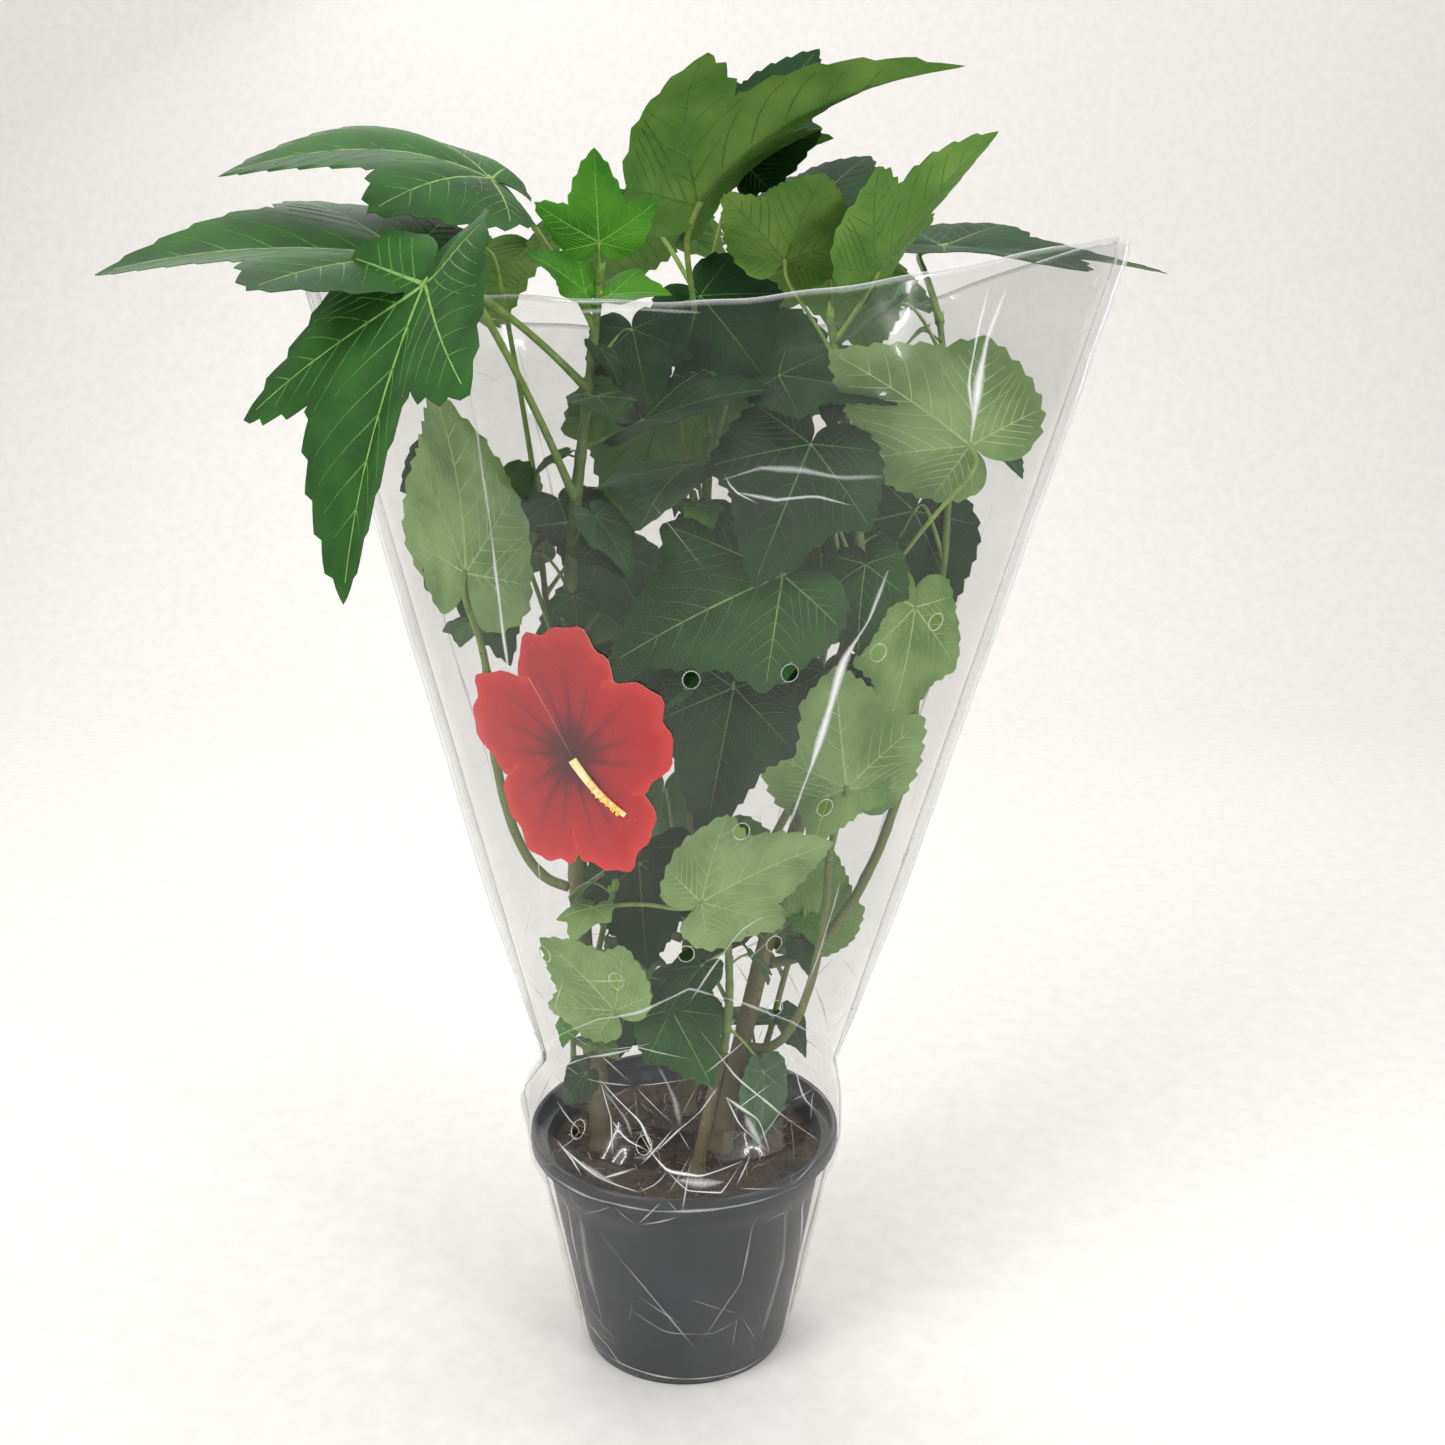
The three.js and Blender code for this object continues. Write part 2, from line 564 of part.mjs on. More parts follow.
// A standing leaf keeps its place if it can, or slides the least way that gives it room.
function settle(shoot, row, grown, limbs) {
  const [share, joint, tip, face, ...shape] = row;
  const outside = insideSleeve(vec(tip)) < 0;
  const off = vec(tip).setZ(0).normalize().multiplyScalar(outside ? SLIDE.step : -SLIDE.step);
  if (outside) off.z = SLIDE.lift;
  for (let reach = 0; reach <= SLIDE.reach; reach++) {
    for (let away = 0; away <= reach; away++) {
      const slide = reach - away;
      for (let a = -slide; a <= slide; a++) {
        for (let b = -slide; b <= slide; b++) {
          if (Math.max(Math.abs(a), Math.abs(b)) !== slide) continue;
          const movedJoint = vec(joint).addScaledVector(off, away);
          const movedTip = vec(tip).addScaledVector(off, away);
          movedJoint.y += a * SLIDE.step;
          movedTip.y += b * SLIDE.step;
          const leaf = measureLeaf(makeLeaf(shoot, share, movedJoint, movedTip, heading(...face), ...shape));
          if (leafFits(leaf, grown, limbs)) return leaf;
        }
      }
    }
  }
  return null;
}

// The seeded rule: leaves climb the stem by the golden turn, and one that has no room is tried
// again smaller and turned, and is skipped in the end.
function growSeeded(mass, shoot, seed, grown, limbs) {
  const random = seededNumbers(seed);
  const spread = (range) => (random() - 0.5) * range;
  const start = random() * 360;
  const leaves = [];
  for (let k = 0; k < mass.seeded; k++) {
    const share = (k + 0.6) / mass.seeded;
    for (let attempt = 0; attempt < SEEDED.tries; attempt++) {
      const size = SEEDED.shrink ** attempt;
      const bearing = start + TURN * k + spread(SEEDED.bearingSpread + attempt * SEEDED.bearingWiden);
      const rise = SEEDED.rise + spread(SEEDED.riseSpread + attempt * SEEDED.riseWiden);
      const blade = bearing + spread(SEEDED.bearingSpread);
      const pitch = SEEDED.bladeRise + spread(SEEDED.bladeSpread);
      const roll = spread(SEEDED.rollSpread);
      const length = mass.blade * size * (1 + spread(SEEDED.lengthSpread));
      const lobing = SEEDED.leastLobing + SEEDED.lobingSpread * random();
      const joint = limbAt(shoot, share).point.addScaledVector(heading(bearing, rise), mass.stalk * size);
      const tip = joint.clone().addScaledVector(heading(blade, pitch), length);
      const face = heading(blade + roll, pitch + 90 - Math.abs(roll));
      const leaf = measureLeaf(makeLeaf(shoot, share, joint, tip, face, lobing, FOLD));
      if (leafFits(leaf, [...grown, ...leaves], limbs)) {
        leaves.push(leaf);
        break;
      }
    }
  }
  return leaves;
}

// The blade is a thin fan.
function bladeGeometry(leaf) {
  const count = leaf.rim.length;
  const layer = (lift) => [leaf.hub, ...leaf.rim].map((p) => p.clone().addScaledVector(leaf.up, lift));
  const vertices = [...layer(leaf.half), ...layer(-leaf.half)];
  const triangles = [];
  for (let i = 0; i < count; i++) {
    const [a, b] = [1 + i, 1 + ((i + 1) % count)];
    const [c, d] = [a + count + 1, b + count + 1];
    triangles.push([0, a, b], [count + 1, d, c], [a, c, d], [a, d, b]);
  }
  return closedGeometry(vertices, triangles);
}

// Each stalk runs from the middle of the shoot into the blade's notch.
function fuseMass(shoot, leaves) {
  let solid = toSolid(tube(shoot.points, shoot.radii, SHOOT_SIDES, shoot.away));
  for (const leaf of leaves) {
    const line = [...stalkPoints(leaf), leaf.joint.clone().addScaledVector(leaf.forward, leaf.half)];
    const stalk = tube(line, line.map(() => leaf.stalk[0][2]), STALK_SIDES);
    solid = solid.add(toSolid(bladeGeometry(leaf))).add(toSolid(stalk));
  }
  return fromSolid(solid);
}

function growMasses(limbs) {
  const names = Object.keys(MASSES);
  const shoots = names.map((name) => measureLimb(growShoot(MASSES[name], limbs)));
  const others = (i) => [...Object.values(limbs).map(measureLimb), ...shoots.filter((_, k) => k !== i)];
  const leaves = names.map(() => []);
  names.forEach((name, i) => {
    for (const row of MASSES[name].standing) {
      const elsewhere = leaves.filter((_, k) => k !== i).flat();
      const leaf = settle(shoots[i], row, elsewhere, others(i));
      if (leaf !== null) leaves[i].push(leaf);
    }
  });
  names.forEach((name, i) => {
    const seed = SEEDED.firstSeed + i * SEEDED.nextSeed;
    leaves[i].push(...growSeeded(MASSES[name], shoots[i], seed, leaves.flat(), others(i)));
    addPiece(name, fuseMass(shoots[i], leaves[i]), "leaves");
  });
}

function addPot() {
  const { height, rimRadius, rimHeight, rimWall, ledge } = POT;
  const { shoulderRadius, footRadius, wall, floor, sides } = POT;
  const step = height - rimHeight;
  const profile = [
    [0, 0], [footRadius, 0], [shoulderRadius, step], [rimRadius, step], [rimRadius, height - 2],
    [rimRadius - 1, height], [rimRadius - rimWall, height], [rimRadius - rimWall, step + ledge],
    [shoulderRadius - wall, step + ledge], [footRadius - wall, floor], [0, floor],
  ];
  const pot = new THREE.LatheGeometry(profile.map(([r, z]) => new THREE.Vector2(r, z)), sides);
  pot.rotateX(Math.PI / 2);
  addPiece("pot", pot, "pot");
}

function addSoil() {
  const { height, rimHeight, ledge, shoulderRadius, footRadius, wall, floor, sides } = POT;
  const slope = (shoulderRadius - footRadius) / (height - rimHeight + ledge - floor);
  const inner = (z) => footRadius - wall + slope * (z - floor) - CLEAR;
  const bottom = floor + CLEAR;
  const profile = [[0, bottom], [inner(bottom), bottom], [inner(SOIL_TOP), SOIL_TOP], [0, SOIL_TOP]];
  const soil = new THREE.LatheGeometry(profile.map(([r, z]) => new THREE.Vector2(r, z)), sides);
  soil.rotateX(Math.PI / 2);
  addPiece("soil", soil, "soil");
}

// Where the film lies, in the middle of its wall, or outside it by a lift.
function sleevePoint(bearing, z, lift = 0) {
  const reach = sleeveReach(bearing, z) + lift;
  return new THREE.Vector3(reach * Math.cos(radians(bearing)), reach * Math.sin(radians(bearing)), z);
}

// One welded sheet of the sleeve, from one seam to the other.
function addSheet(name, startBearing, seamShift) {
  const waist = SLEEVE.at(-2).z;
  const rowCount = SLEEVE.length - 2 + SLEEVE_ROWS.length;
  const rowHeight = (row, bearing) => {
    if (row < SLEEVE.length - 2) return SLEEVE[row].z;
    return waist + SLEEVE_ROWS[row - SLEEVE.length + 2] * (mouthHeight(bearing) - waist);
  };
  const columns = SLEEVE_STEPS + 1;
  const vertices = [];
  for (const lift of [SLEEVE_WALL / 2, -SLEEVE_WALL / 2]) {
    for (let row = 0; row < rowCount; row++) {
      for (let step = 0; step < columns; step++) {
        const bearing = startBearing + (180 * step) / SLEEVE_STEPS;
        const point = sleevePoint(bearing, rowHeight(row, bearing), lift);
        point.y += seamShift;
        vertices.push(point);
      }
    }
  }
  const layer = rowCount * columns;
  const triangles = [];
  const quad = (a, b, c, d) => triangles.push([a, b, c], [a, c, d]);
  for (let row = 0; row < rowCount - 1; row++) {
    for (let step = 0; step < SLEEVE_STEPS; step++) {
      const a = row * columns + step;
      quad(a, a + 1, a + 1 + columns, a + columns);
      quad(layer + a, layer + a + columns, layer + a + 1 + columns, layer + a + 1);
    }
    const [first, end] = [row * columns, row * columns + SLEEVE_STEPS];
    quad(first, first + columns, layer + first + columns, layer + first);
    quad(end + columns, end, layer + end, layer + end + columns);
  }
  for (let step = 0; step < SLEEVE_STEPS; step++) {
    const top = (rowCount - 1) * columns + step;
    quad(step + 1, step, layer + step, layer + step + 1);
    quad(top, top + 1, layer + top + 1, layer + top);
  }
  addPiece(name, closedGeometry(vertices, triangles), "sleeve");
}

// A thin flower-shaped label that lies on the film, bent round with it.
function addLabel() {
  const { bearing, height, petals, petalReach, notchReach, width, roundness, rings, wall, lift } = LABEL;
  const spokes = petals * LABEL.spokesPerPetal;
  const arc = radians(sleeveReach(bearing, height));
  const place = (reach, turn, extra) => sleevePoint(
    bearing + (reach * Math.cos(turn) * width) / arc, height + reach * Math.sin(turn), lift + extra,
  );
  const edge = (turn) => {
    const lobe = Math.abs(Math.cos((petals * (turn - Math.PI / 2)) / 2));
    return notchReach + (petalReach - notchReach) * lobe ** roundness;
  };
  const vertices = [];
  for (const extra of [wall / 2, -wall / 2]) {
    vertices.push(place(0, 0, extra));
    for (let ring = 1; ring <= rings; ring++) {
      for (let k = 0; k < spokes; k++) {
        const turn = (2 * Math.PI * k) / spokes;
        vertices.push(place((edge(turn) * ring) / rings, turn, extra));
      }
    }
  }
  const layer = 1 + rings * spokes;
  const triangles = [];
  for (let k = 0; k < spokes; k++) {
    const next = (k + 1) % spokes;
    triangles.push([0, 1 + k, 1 + next], [layer, layer + 1 + next, layer + 1 + k]);
    for (let ring = 0; ring < rings - 1; ring++) {
      const [a, b] = [1 + ring * spokes + k, 1 + ring * spokes + next];
      const [c, d] = [a + spokes, b + spokes];
      triangles.push([a, c, d], [a, d, b]);
      triangles.push([layer + a, layer + d, layer + c], [layer + a, layer + b, layer + d]);
    }
    const [e, f] = [1 + (rings - 1) * spokes + k, 1 + (rings - 1) * spokes + next];
    triangles.push([e, layer + e, layer + f], [e, layer + f, f]);
  }
  addPiece("label", closedGeometry(vertices, triangles), "label");
}

addPot();
addSoil();
const limbs = growStems();
growBoughs(limbs);
growMasses(limbs);
addSheet("sleeve_front", 180, -CLEAR / 2);
addSheet("sleeve_back", 0, CLEAR / 2);
addLabel();

export default group;
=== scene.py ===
# A potted hibiscus shrub in a clear film sleeve, dressed for its final look.
# The growth rule works in millimetres and every mesh is in metres. +Z is up and -Y is the front.
# Bearings are degrees anticlockwise from +X, seen from above. Rises are degrees above level.

import math
import bpy
import numpy as np
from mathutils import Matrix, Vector
from mathutils.geometry import delaunay_2d_cdt


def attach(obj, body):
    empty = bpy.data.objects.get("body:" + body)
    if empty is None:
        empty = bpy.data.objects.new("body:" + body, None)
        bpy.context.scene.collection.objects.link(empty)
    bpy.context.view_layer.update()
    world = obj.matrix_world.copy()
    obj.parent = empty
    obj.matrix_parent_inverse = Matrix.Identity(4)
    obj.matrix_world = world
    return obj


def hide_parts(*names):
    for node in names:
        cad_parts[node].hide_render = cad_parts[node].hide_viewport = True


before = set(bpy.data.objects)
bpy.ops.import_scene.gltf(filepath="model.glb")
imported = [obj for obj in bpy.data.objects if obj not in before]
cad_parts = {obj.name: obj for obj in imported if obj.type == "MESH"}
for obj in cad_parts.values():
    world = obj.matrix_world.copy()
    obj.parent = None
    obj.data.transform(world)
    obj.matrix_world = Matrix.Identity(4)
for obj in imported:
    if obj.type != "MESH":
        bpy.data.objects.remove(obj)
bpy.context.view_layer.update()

MM = 0.001
CLEAR = 0.3
# About a full turn in radians: the most that a wave's phase is drawn to.
PHASE = 6.3

POT = {
    "height": 145, "rim_radius": 95, "rim_height": 11, "rim_wall": 3.5, "shoulder_radius": 87,
    "foot_radius": 63, "wall": 2.5, "floor": 3, "ledge": 2.5,
}
SOIL_TOP = 130

# The film's half width to the left and right, and its half depth to the front and back.
SLEEVE_Z = [4, 60, 118, 132, 148, 166, 186, 660]
SLEEVE = {
    "left": [66, 77, 89, 96.3, 96.3, 99, 84, 200],
    "right": [66, 77, 89, 96.3, 96.3, 96, 92, 236],
    "front": [66, 76, 88, 96.3, 96.3, 94, 85, 127],
    "back": [66, 77, 89, 96.3, 96.3, 95, 87, 132],
}
MOUTH = {"front": 638, "back": 622, "right": 669, "left": 645, "front_power": 3, "back_power": 6}
SECTION = {"power": 1.88, "from_height": 186, "ramp_height": 120}

STEM_STEPS = 9
BOUGH_CURVE = {"steps": 7, "leaving": 0.25, "rising": 0.4}
SHOOT = {"straight": 6, "side_radius": 2.2, "end_radius": 2, "taper": 0.7, "steps": 6}
FOOT_FLARE = 1.35
FLARE_HEIGHT = 8

# Each stem: the points that its middle line passes through, and its radius at foot and tip.
STEMS = {
    "stem_left": {"path": [[-50, -8, SOIL_TOP], [-61, -9, 290], [-63, -10, 462]], "foot": 7, "tip": 4.6},
    "stem_right": {"path": [[22, -10, SOIL_TOP], [40, -11, 225], [92, -11, 440]], "foot": 6.5, "tip": 4.2},
    "stem_back": {"path": [[0, 36, SOIL_TOP], [5, 54, 290], [12, 60, 440]], "foot": 6, "tip": 4},
    "stem_front": {"path": [[8, -38, SOIL_TOP], [16, -44, 175], [24, -47, 215]], "foot": 4, "tip": 3},
}

# Each bough leaves a stem's side at a share of its length, and bends up to its tip.
BOUGHS = {
    "bough_left": {"from": "stem_left", "share": 0.58, "tip": [-112, -2, 430], "root": 3, "end": 2.4},
    "bough_centre": {"from": "stem_left", "share": 0.66, "tip": [-10, -34, 440], "root": 3, "end": 2.4},
    "bough_right": {"from": "stem_right", "share": 0.62, "tip": [138, 14, 420], "root": 3.2, "end": 2.6},
    "bough_right_front": {
        "from": "stem_right", "share": 0.45, "tip": [84, -42, 330], "root": 2.8, "end": 2.2,
    },
    "bough_back_left": {"from": "stem_back", "share": 0.42, "tip": [-72, 66, 400], "root": 3, "end": 2.4},
    "bough_back_right": {"from": "stem_back", "share": 0.5, "tip": [84, 68, 410], "root": 3, "end": 2.4},
}

# Each mass: the limb that it carries on from, its own stem's points after the limb, its seeded
# leaves, and the leaves that stand out. A standing leaf is [share along the stem, where the blade
# meets its stalk, the tip of its middle lobe, the bearing and rise that its upper side faces,
# how lobed it is, how many degrees its halves fold up, its finish, and its bend if not the usual].
MASSES = {
    "leaves_left_top": {
        "from": "stem_left", "path": [[-58, -9, 530], [-48, -9, 600], [-42, -8, 650]],
        "seeded": 9, "blade": 46, "stalk": 30,
        "standing": [
            [0.5, [-117, -116, 645], [-155, -173, 504], [219, 31], 1.25, 16, "mid", 0.13],
            [0.72, [-127, -38, 650], [-284, -52, 644], [261, 73], 0.8, 10, "mid", 0.2],
            [0.86, [-100, 0, 700], [-238, -20, 703], [262, 70], 0.9, 8, "mid", 0.5],
            [0.97, [-41, -25, 667], [-41, -47, 712], [270, 30], 1.3, 8, "young"],
            [0.9, [-50, -14, 642], [-80, -26, 662], [285, 50], 0.5, 20, "young"],
            [0.94, [-36, -14, 640], [-3, -24, 640], [265, 60], 0.4, 20, "young"],
            [0.6, [-20, -22, 574], [50, -40, 592], [262, 72], 0.5, 14, "dark"],
            [0.75, [-26, 10, 622], [-16, -8, 575], [275, 20], 0.7, 8, "dark"],
        ],
    },
    "leaves_right_top": {
        "from": "stem_right", "path": [[101, -10, 500], [92, -8, 570], [82, -4, 628]],
        "seeded": 4, "blade": 60, "stalk": 40,
        "standing": [
            [0.94, [106, -10, 651], [167, -20, 722], [140, 52], 1.15, 20, "mid"],
            [0.9, [57, -10, 658], [74, -66, 700], [80, 52], 0.9, 12, "mid"],
            [0.3, [172, -48, 562], [93, -80, 613], [78, 30], 0.4, 8, "fresh"],
            [0.45, [54, -20, 598], [116, -45, 585], [280, 58], 0.5, 8, "dark"],
            [0.3, [71, -34, 563], [40, -68, 492], [268, 20], 0.5, 8, "dark"],
        ],
    },
    "leaves_back_top": {
        "from": "stem_back", "path": [[14, 60, 520], [16, 58, 600], [12, 54, 650]],
        "seeded": 8, "blade": 92, "stalk": 62,
        "standing": [
            [0.62, [10, 8, 687], [144, -54, 749], [134, 55], 1.35, 40, "mid", 0.58],
            [0.95, [34, 70, 716], [78, 80, 777], [262, 55], 0.7, 8, "dark"],
            [0.85, [69, 70, 682], [113, 120, 722], [258, 62], 0.6, 0, "dark"],
            [0.7, [11, 34, 640], [54, 24, 586], [272, 28], 0.5, 8, "dark"],
            [0.3, [-10, 90, 585], [-38, 101, 492], [95, 25], 0.6, 8, "mid"],
            [0.9, [-30, 98, 694], [-50, 192, 644], [100, 62], 0.9, -8, "mid"],
            [0.55, [42, 88, 612], [48, 100, 520], [85, 25], 0.5, 8, "dark"],
        ],
    },
    "leaves_left": {
        "from": "bough_left", "path": [[-120, -2, 470], [-124, 2, 520]],
        "seeded": 4, "blade": 66, "stalk": 36,
        "standing": [
            [0.4, [-117, -32, 493], [-124, -58, 596], [45, 8], 0.1, 8, "fresh"],
            [0.7, [-131, 12, 555], [-129, -4, 507], [256, 30], 0.5, 6, "dark"],
        ],
    },
    "leaves_centre": {
        "from": "bough_centre", "path": [[2, -32, 480], [8, -28, 530]],
        "seeded": 4, "blade": 70, "stalk": 40,
        "standing": [
            [0.6, [56, -50, 495], [-36, -78, 451], [262, 38], 0.5, 8, "mid"],
            [0.45, [30, -50, 433], [14, -80, 354], [268, 25], 0.5, 34, "dark"],
            [0.5, [-4, -48, 450], [-46, -64, 428], [262, 40], 0.4, 8, "grey"],
        ],
    },
    "leaves_right": {
        "from": "bough_right", "path": [[152, 18, 490], [154, 32, 570], [150, 58, 625]],
        "seeded": 4, "blade": 74, "stalk": 46,
        "standing": [
            [1, [154, 134, 664], [300, 154, 650], [262, 80], 0.8, 6, "dark", 0.05],
            [0.4, [140, -4, 470], [122, -24, 390], [320, 22], 0.5, 8, "fresh"],
            [0.5, [168, 36, 520], [124, 46, 440], [300, 28], 0.6, 8, "dark"],
        ],
    },
    "leaves_right_front": {
        "from": "bough_right_front", "path": [[88, -44, 350], [92, -44, 372]],
        "seeded": 3, "blade": 60, "stalk": 34,
        "standing": [
            [0.7, [96, -52, 374], [86, -74, 452], [98, 14], 0.6, 8, "fresh"],
            [0.3, [92, -20, 388], [74, -50, 344], [268, 42], 0.4, 8, "fresh"],
        ],
    },
    "leaves_back_left": {
        "from": "bough_back_left", "path": [[-84, 68, 450], [-88, 70, 530]],
        "seeded": 5, "blade": 86, "stalk": 56,
        "standing": [
            [0.95, [-124, 106, 664], [-206, 160, 596], [150, 50], 0.9, -12, "mid"],
            [0.4, [-112, 66, 522], [-106, 56, 424], [145, 15], 0.5, 8, "dark"],
            [0.45, [-42, 78, 452], [-44, 68, 362], [100, 15], 0.5, 8, "dark"],
        ],
    },
    "leaves_back_right": {
        "from": "bough_back_right", "path": [[94, 70, 470], [98, 70, 550]],
        "seeded": 5, "blade": 86, "stalk": 56,
        "standing": [
            [0.95, [88, 134, 664], [118, 200, 600], [64, 50], 0.8, -8, "mid"],
            [0.4, [110, 84, 530], [116, 66, 438], [40, 15], 0.5, 8, "dark"],
            [0.45, [52, 78, 470], [52, 70, 384], [80, 15], 0.5, 8, "dark"],
        ],
    },
    "leaves_front_low": {
        "from": "stem_front", "path": [[28, -48, 250], [26, -46, 296]],
        "seeded": 3, "blade": 52, "stalk": 30,
        "standing": [
            [0.9, [8, -26, 333], [6, -60, 298], [270, 45], 0.05, 6, "dark"],
            [0.6, [-25, -16, 319], [-20, -32, 259], [262, 25], 0.3, 8, "dark"],
            [0.4, [-6, -46, 240], [18, -64, 200], [272, 30], 0.4, 8, "mid"],
            [0.45, [48, -34, 196], [44, -48, 152], [325, 10], 0.3, 8, "grey"],
        ],
    },
    "leaves_left_low": {
        "from": "stem_left", "side": {"share": 0.45, "bearing": 300},
        "path": [[-44, -34, 292], [-38, -42, 312]],
        "seeded": 2, "blade": 60, "stalk": 40,
        "standing": [
            [0.8, [12, -76, 318], [85, -70, 350], [95, 22], 0.8, 8, "fresh"],
        ],
    },
    "leaves_left_foot": {
        "from": "stem_left", "side": {"share": 0.2, "bearing": 215},
        "path": [[-66, -22, 206], [-64, -28, 226]],
        "seeded": 2, "blade": 44, "stalk": 30,
        "standing": [
            [0.3, [-56, -46, 200], [-70, -56, 178], [235, 40], 0.2, 8, "dark"],
            [0.8, [-38, -50, 245], [-80, -62, 288], [100, 30], 0.7, 8, "fresh"],
        ],
    },
    "leaves_right_low": {
        "from": "stem_right", "side": {"share": 0.3, "bearing": 20}, "path": [[62, -2, 245], [72, 2, 275]],
        "seeded": 4, "blade": 70, "stalk": 40,
        "standing": [
            [0.7, [88, 4, 262], [102, 2, 318], [300, 30], 0.4, 12, "fresh"],
        ],
    },
    "leaves_back_low": {
        "from": "stem_back", "side": {"share": 0.3, "bearing": 100}, "path": [[0, 62, 240], [-6, 66, 290]],
        "seeded": 4, "blade": 70, "stalk": 40,
        "standing": [
            [0.9, [-14, 82, 334], [-20, 79, 266], [95, 15], 0.5, 8, "dark"],
            [0.6, [26, 80, 302], [38, 74, 240], [75, 15], 0.4, 8, "mid"],
        ],
    },
}

# The blade's half outline: degrees from the middle lobe, and reach as a share of its length.
LOBED = [
    (0, 1), (11, 0.82), (22, 0.68), (35, 0.55), (45, 0.66), (54, 0.76), (66, 0.6), (82, 0.5), (118, 0.36),
    (150, 0.24), (180, 0.05),
]
HEART = [
    (0, 1), (8, 0.87), (20, 0.76), (35, 0.69), (54, 0.62), (82, 0.53), (118, 0.42), (150, 0.31), (180, 0.06),
]
RIM_ANGLES = [0, 20, 36, 54, 86, 135, 164, -164, -135, -86, -54, -36, -20]
BLADE_HUB = 0.3
FOLD = 9
BEND = 0.17
BLADE_THICKNESS = 0.018
STALK_WIDTH = 0.03
STALK_ARCH = 0.1
ELBOW = {"behind": 0.12, "under": 0.03}

# How seeded leaves climb a shoot, in degrees and in shares, and how each new try widens the search.
TURN = 137.5
SEEDED = {
    "rise": 36, "rise_spread": 30, "blade_rise": -42, "blade_spread": 56, "bearing_spread": 50,
    "roll_spread": 36, "length_spread": 0.3, "least_lobing": 0.3, "lobing_spread": 0.6, "tries": 60,
    "shrink": 0.988, "bearing_widen": 8, "rise_widen": 2, "first_seed": 71, "next_seed": 13,
}
# The least gaps: between leaves and limbs, from a leaf to the film, and from a leaf to the soil.
ROOM = 0.7
SLEEVE_ROOM = 3.2
SOIL_ROOM = 3
# How far a standing leaf may slide to find room: millimetres a step, and the most steps.
SLIDE = {"step": 4, "lift": 3, "reach": 9}
FILM_SAMPLE = 4

# The finer shoots that the rule carries on to: small leaves between the large ones.
FINE = {"count": 7, "blade": 26, "stalk": 15, "tries": 14, "seed": 500}
STEM_LEAVES = {"count": 20, "blade": 27, "stalk": 10, "tries": 26, "seed": 611}
WHORL = {"count": 7, "lowest": 0.93, "blade": 21, "stalk": 5, "tries": 12, "seed": 700}


def vec(point):
    return np.array(point, float)


def unit(direction):
    length = np.linalg.norm(direction)
    return direction / length if length > 0 else direction


def heading(bearing, rise):
    b, r = math.radians(bearing), math.radians(rise)
    return np.array([math.cos(r) * math.cos(b), math.cos(r) * math.sin(b), math.sin(r)])


def seeded_numbers(seed):
    """One number after another from 0 to 1, the same on every run and the same as the solids'."""
    whole = 0xFFFFFFFF
    state = seed & whole

    def draw():
        nonlocal state
        state = (state + 0x6D2B79F5) & whole
        mixed = ((state ^ (state >> 15)) * (state | 1)) & whole
        mixed ^= (mixed + (((mixed ^ (mixed >> 7)) * (mixed | 61)) & whole)) & whole
        return (mixed ^ (mixed >> 14)) / 4294967296

    return draw


def side_values(side, height):
    return np.interp(height, SLEEVE_Z, SLEEVE[side])


def sleeve_reach(bearing, z):
    """The film's distance from the pot's axis, at bearings in degrees and heights."""
    c, s = np.cos(np.radians(bearing)), np.sin(np.radians(bearing))
    height = np.minimum(z, SLEEVE_Z[-1])
    wide = np.abs(c) / np.where(c > 0, side_values("right", height), side_values("left", height))
    deep = np.abs(s) / np.where(s > 0, side_values("back", height), side_values("front", height))
    upper = np.clip((z - SECTION["from_height"]) / SECTION["ramp_height"], 0, 1)
    power = 2 + (SECTION["power"] - 2) * upper
    return (wide ** power + deep ** power) ** (-1 / power)


def mouth_height(bearing):
    c, s = np.cos(np.radians(bearing)), np.sin(np.radians(bearing))
    low = np.where(s > 0, MOUTH["back"], MOUTH["front"])
    peak = np.where(c > 0, MOUTH["right"], MOUTH["left"])
    power = np.where(s > 0, MOUTH["back_power"], MOUTH["front_power"])
    return low + (peak - low) * np.abs(c) ** power


def catmull_points(corners, steps):
    """Points of a centripetal Catmull-Rom curve through the corners, even in its parameter."""
    corners = [vec(p) for p in corners]
    last = len(corners) - 1
    padded = [2 * corners[0] - corners[1], *corners, 2 * corners[-1] - corners[-2]]
    points = []
    for i in range(steps + 1):
        place = last * i / steps
        k = min(int(place), last - 1)
        w = place - k
        p0, p1, p2, p3 = padded[k:k + 4]
        d0, d1, d2 = (np.linalg.norm(b - a) ** 0.5 for a, b in ((p0, p1), (p1, p2), (p2, p3)))
        t1 = ((p1 - p0) / d0 - (p2 - p0) / (d0 + d1) + (p2 - p1) / d1) * d1
        t2 = ((p2 - p1) / d1 - (p3 - p1) / (d1 + d2) + (p3 - p2) / d2) * d1
        c2, c3 = -3 * p1 + 3 * p2 - 2 * t1 - t2, 2 * p1 - 2 * p2 + t1 + t2
        points.append(p1 + t1 * w + c2 * w ** 2 + c3 * w ** 3)
    return points


def bezier_points(corners, steps):
    """Points of the Bezier curve with three or four corners."""
    points = []
    for t in np.linspace(0, 1, steps + 1):
        row = [vec(p) for p in corners]
        while len(row) > 1:
            row = [a + (b - a) * t for a, b in zip(row, row[1:])]
        points.append(row[0])
    return points


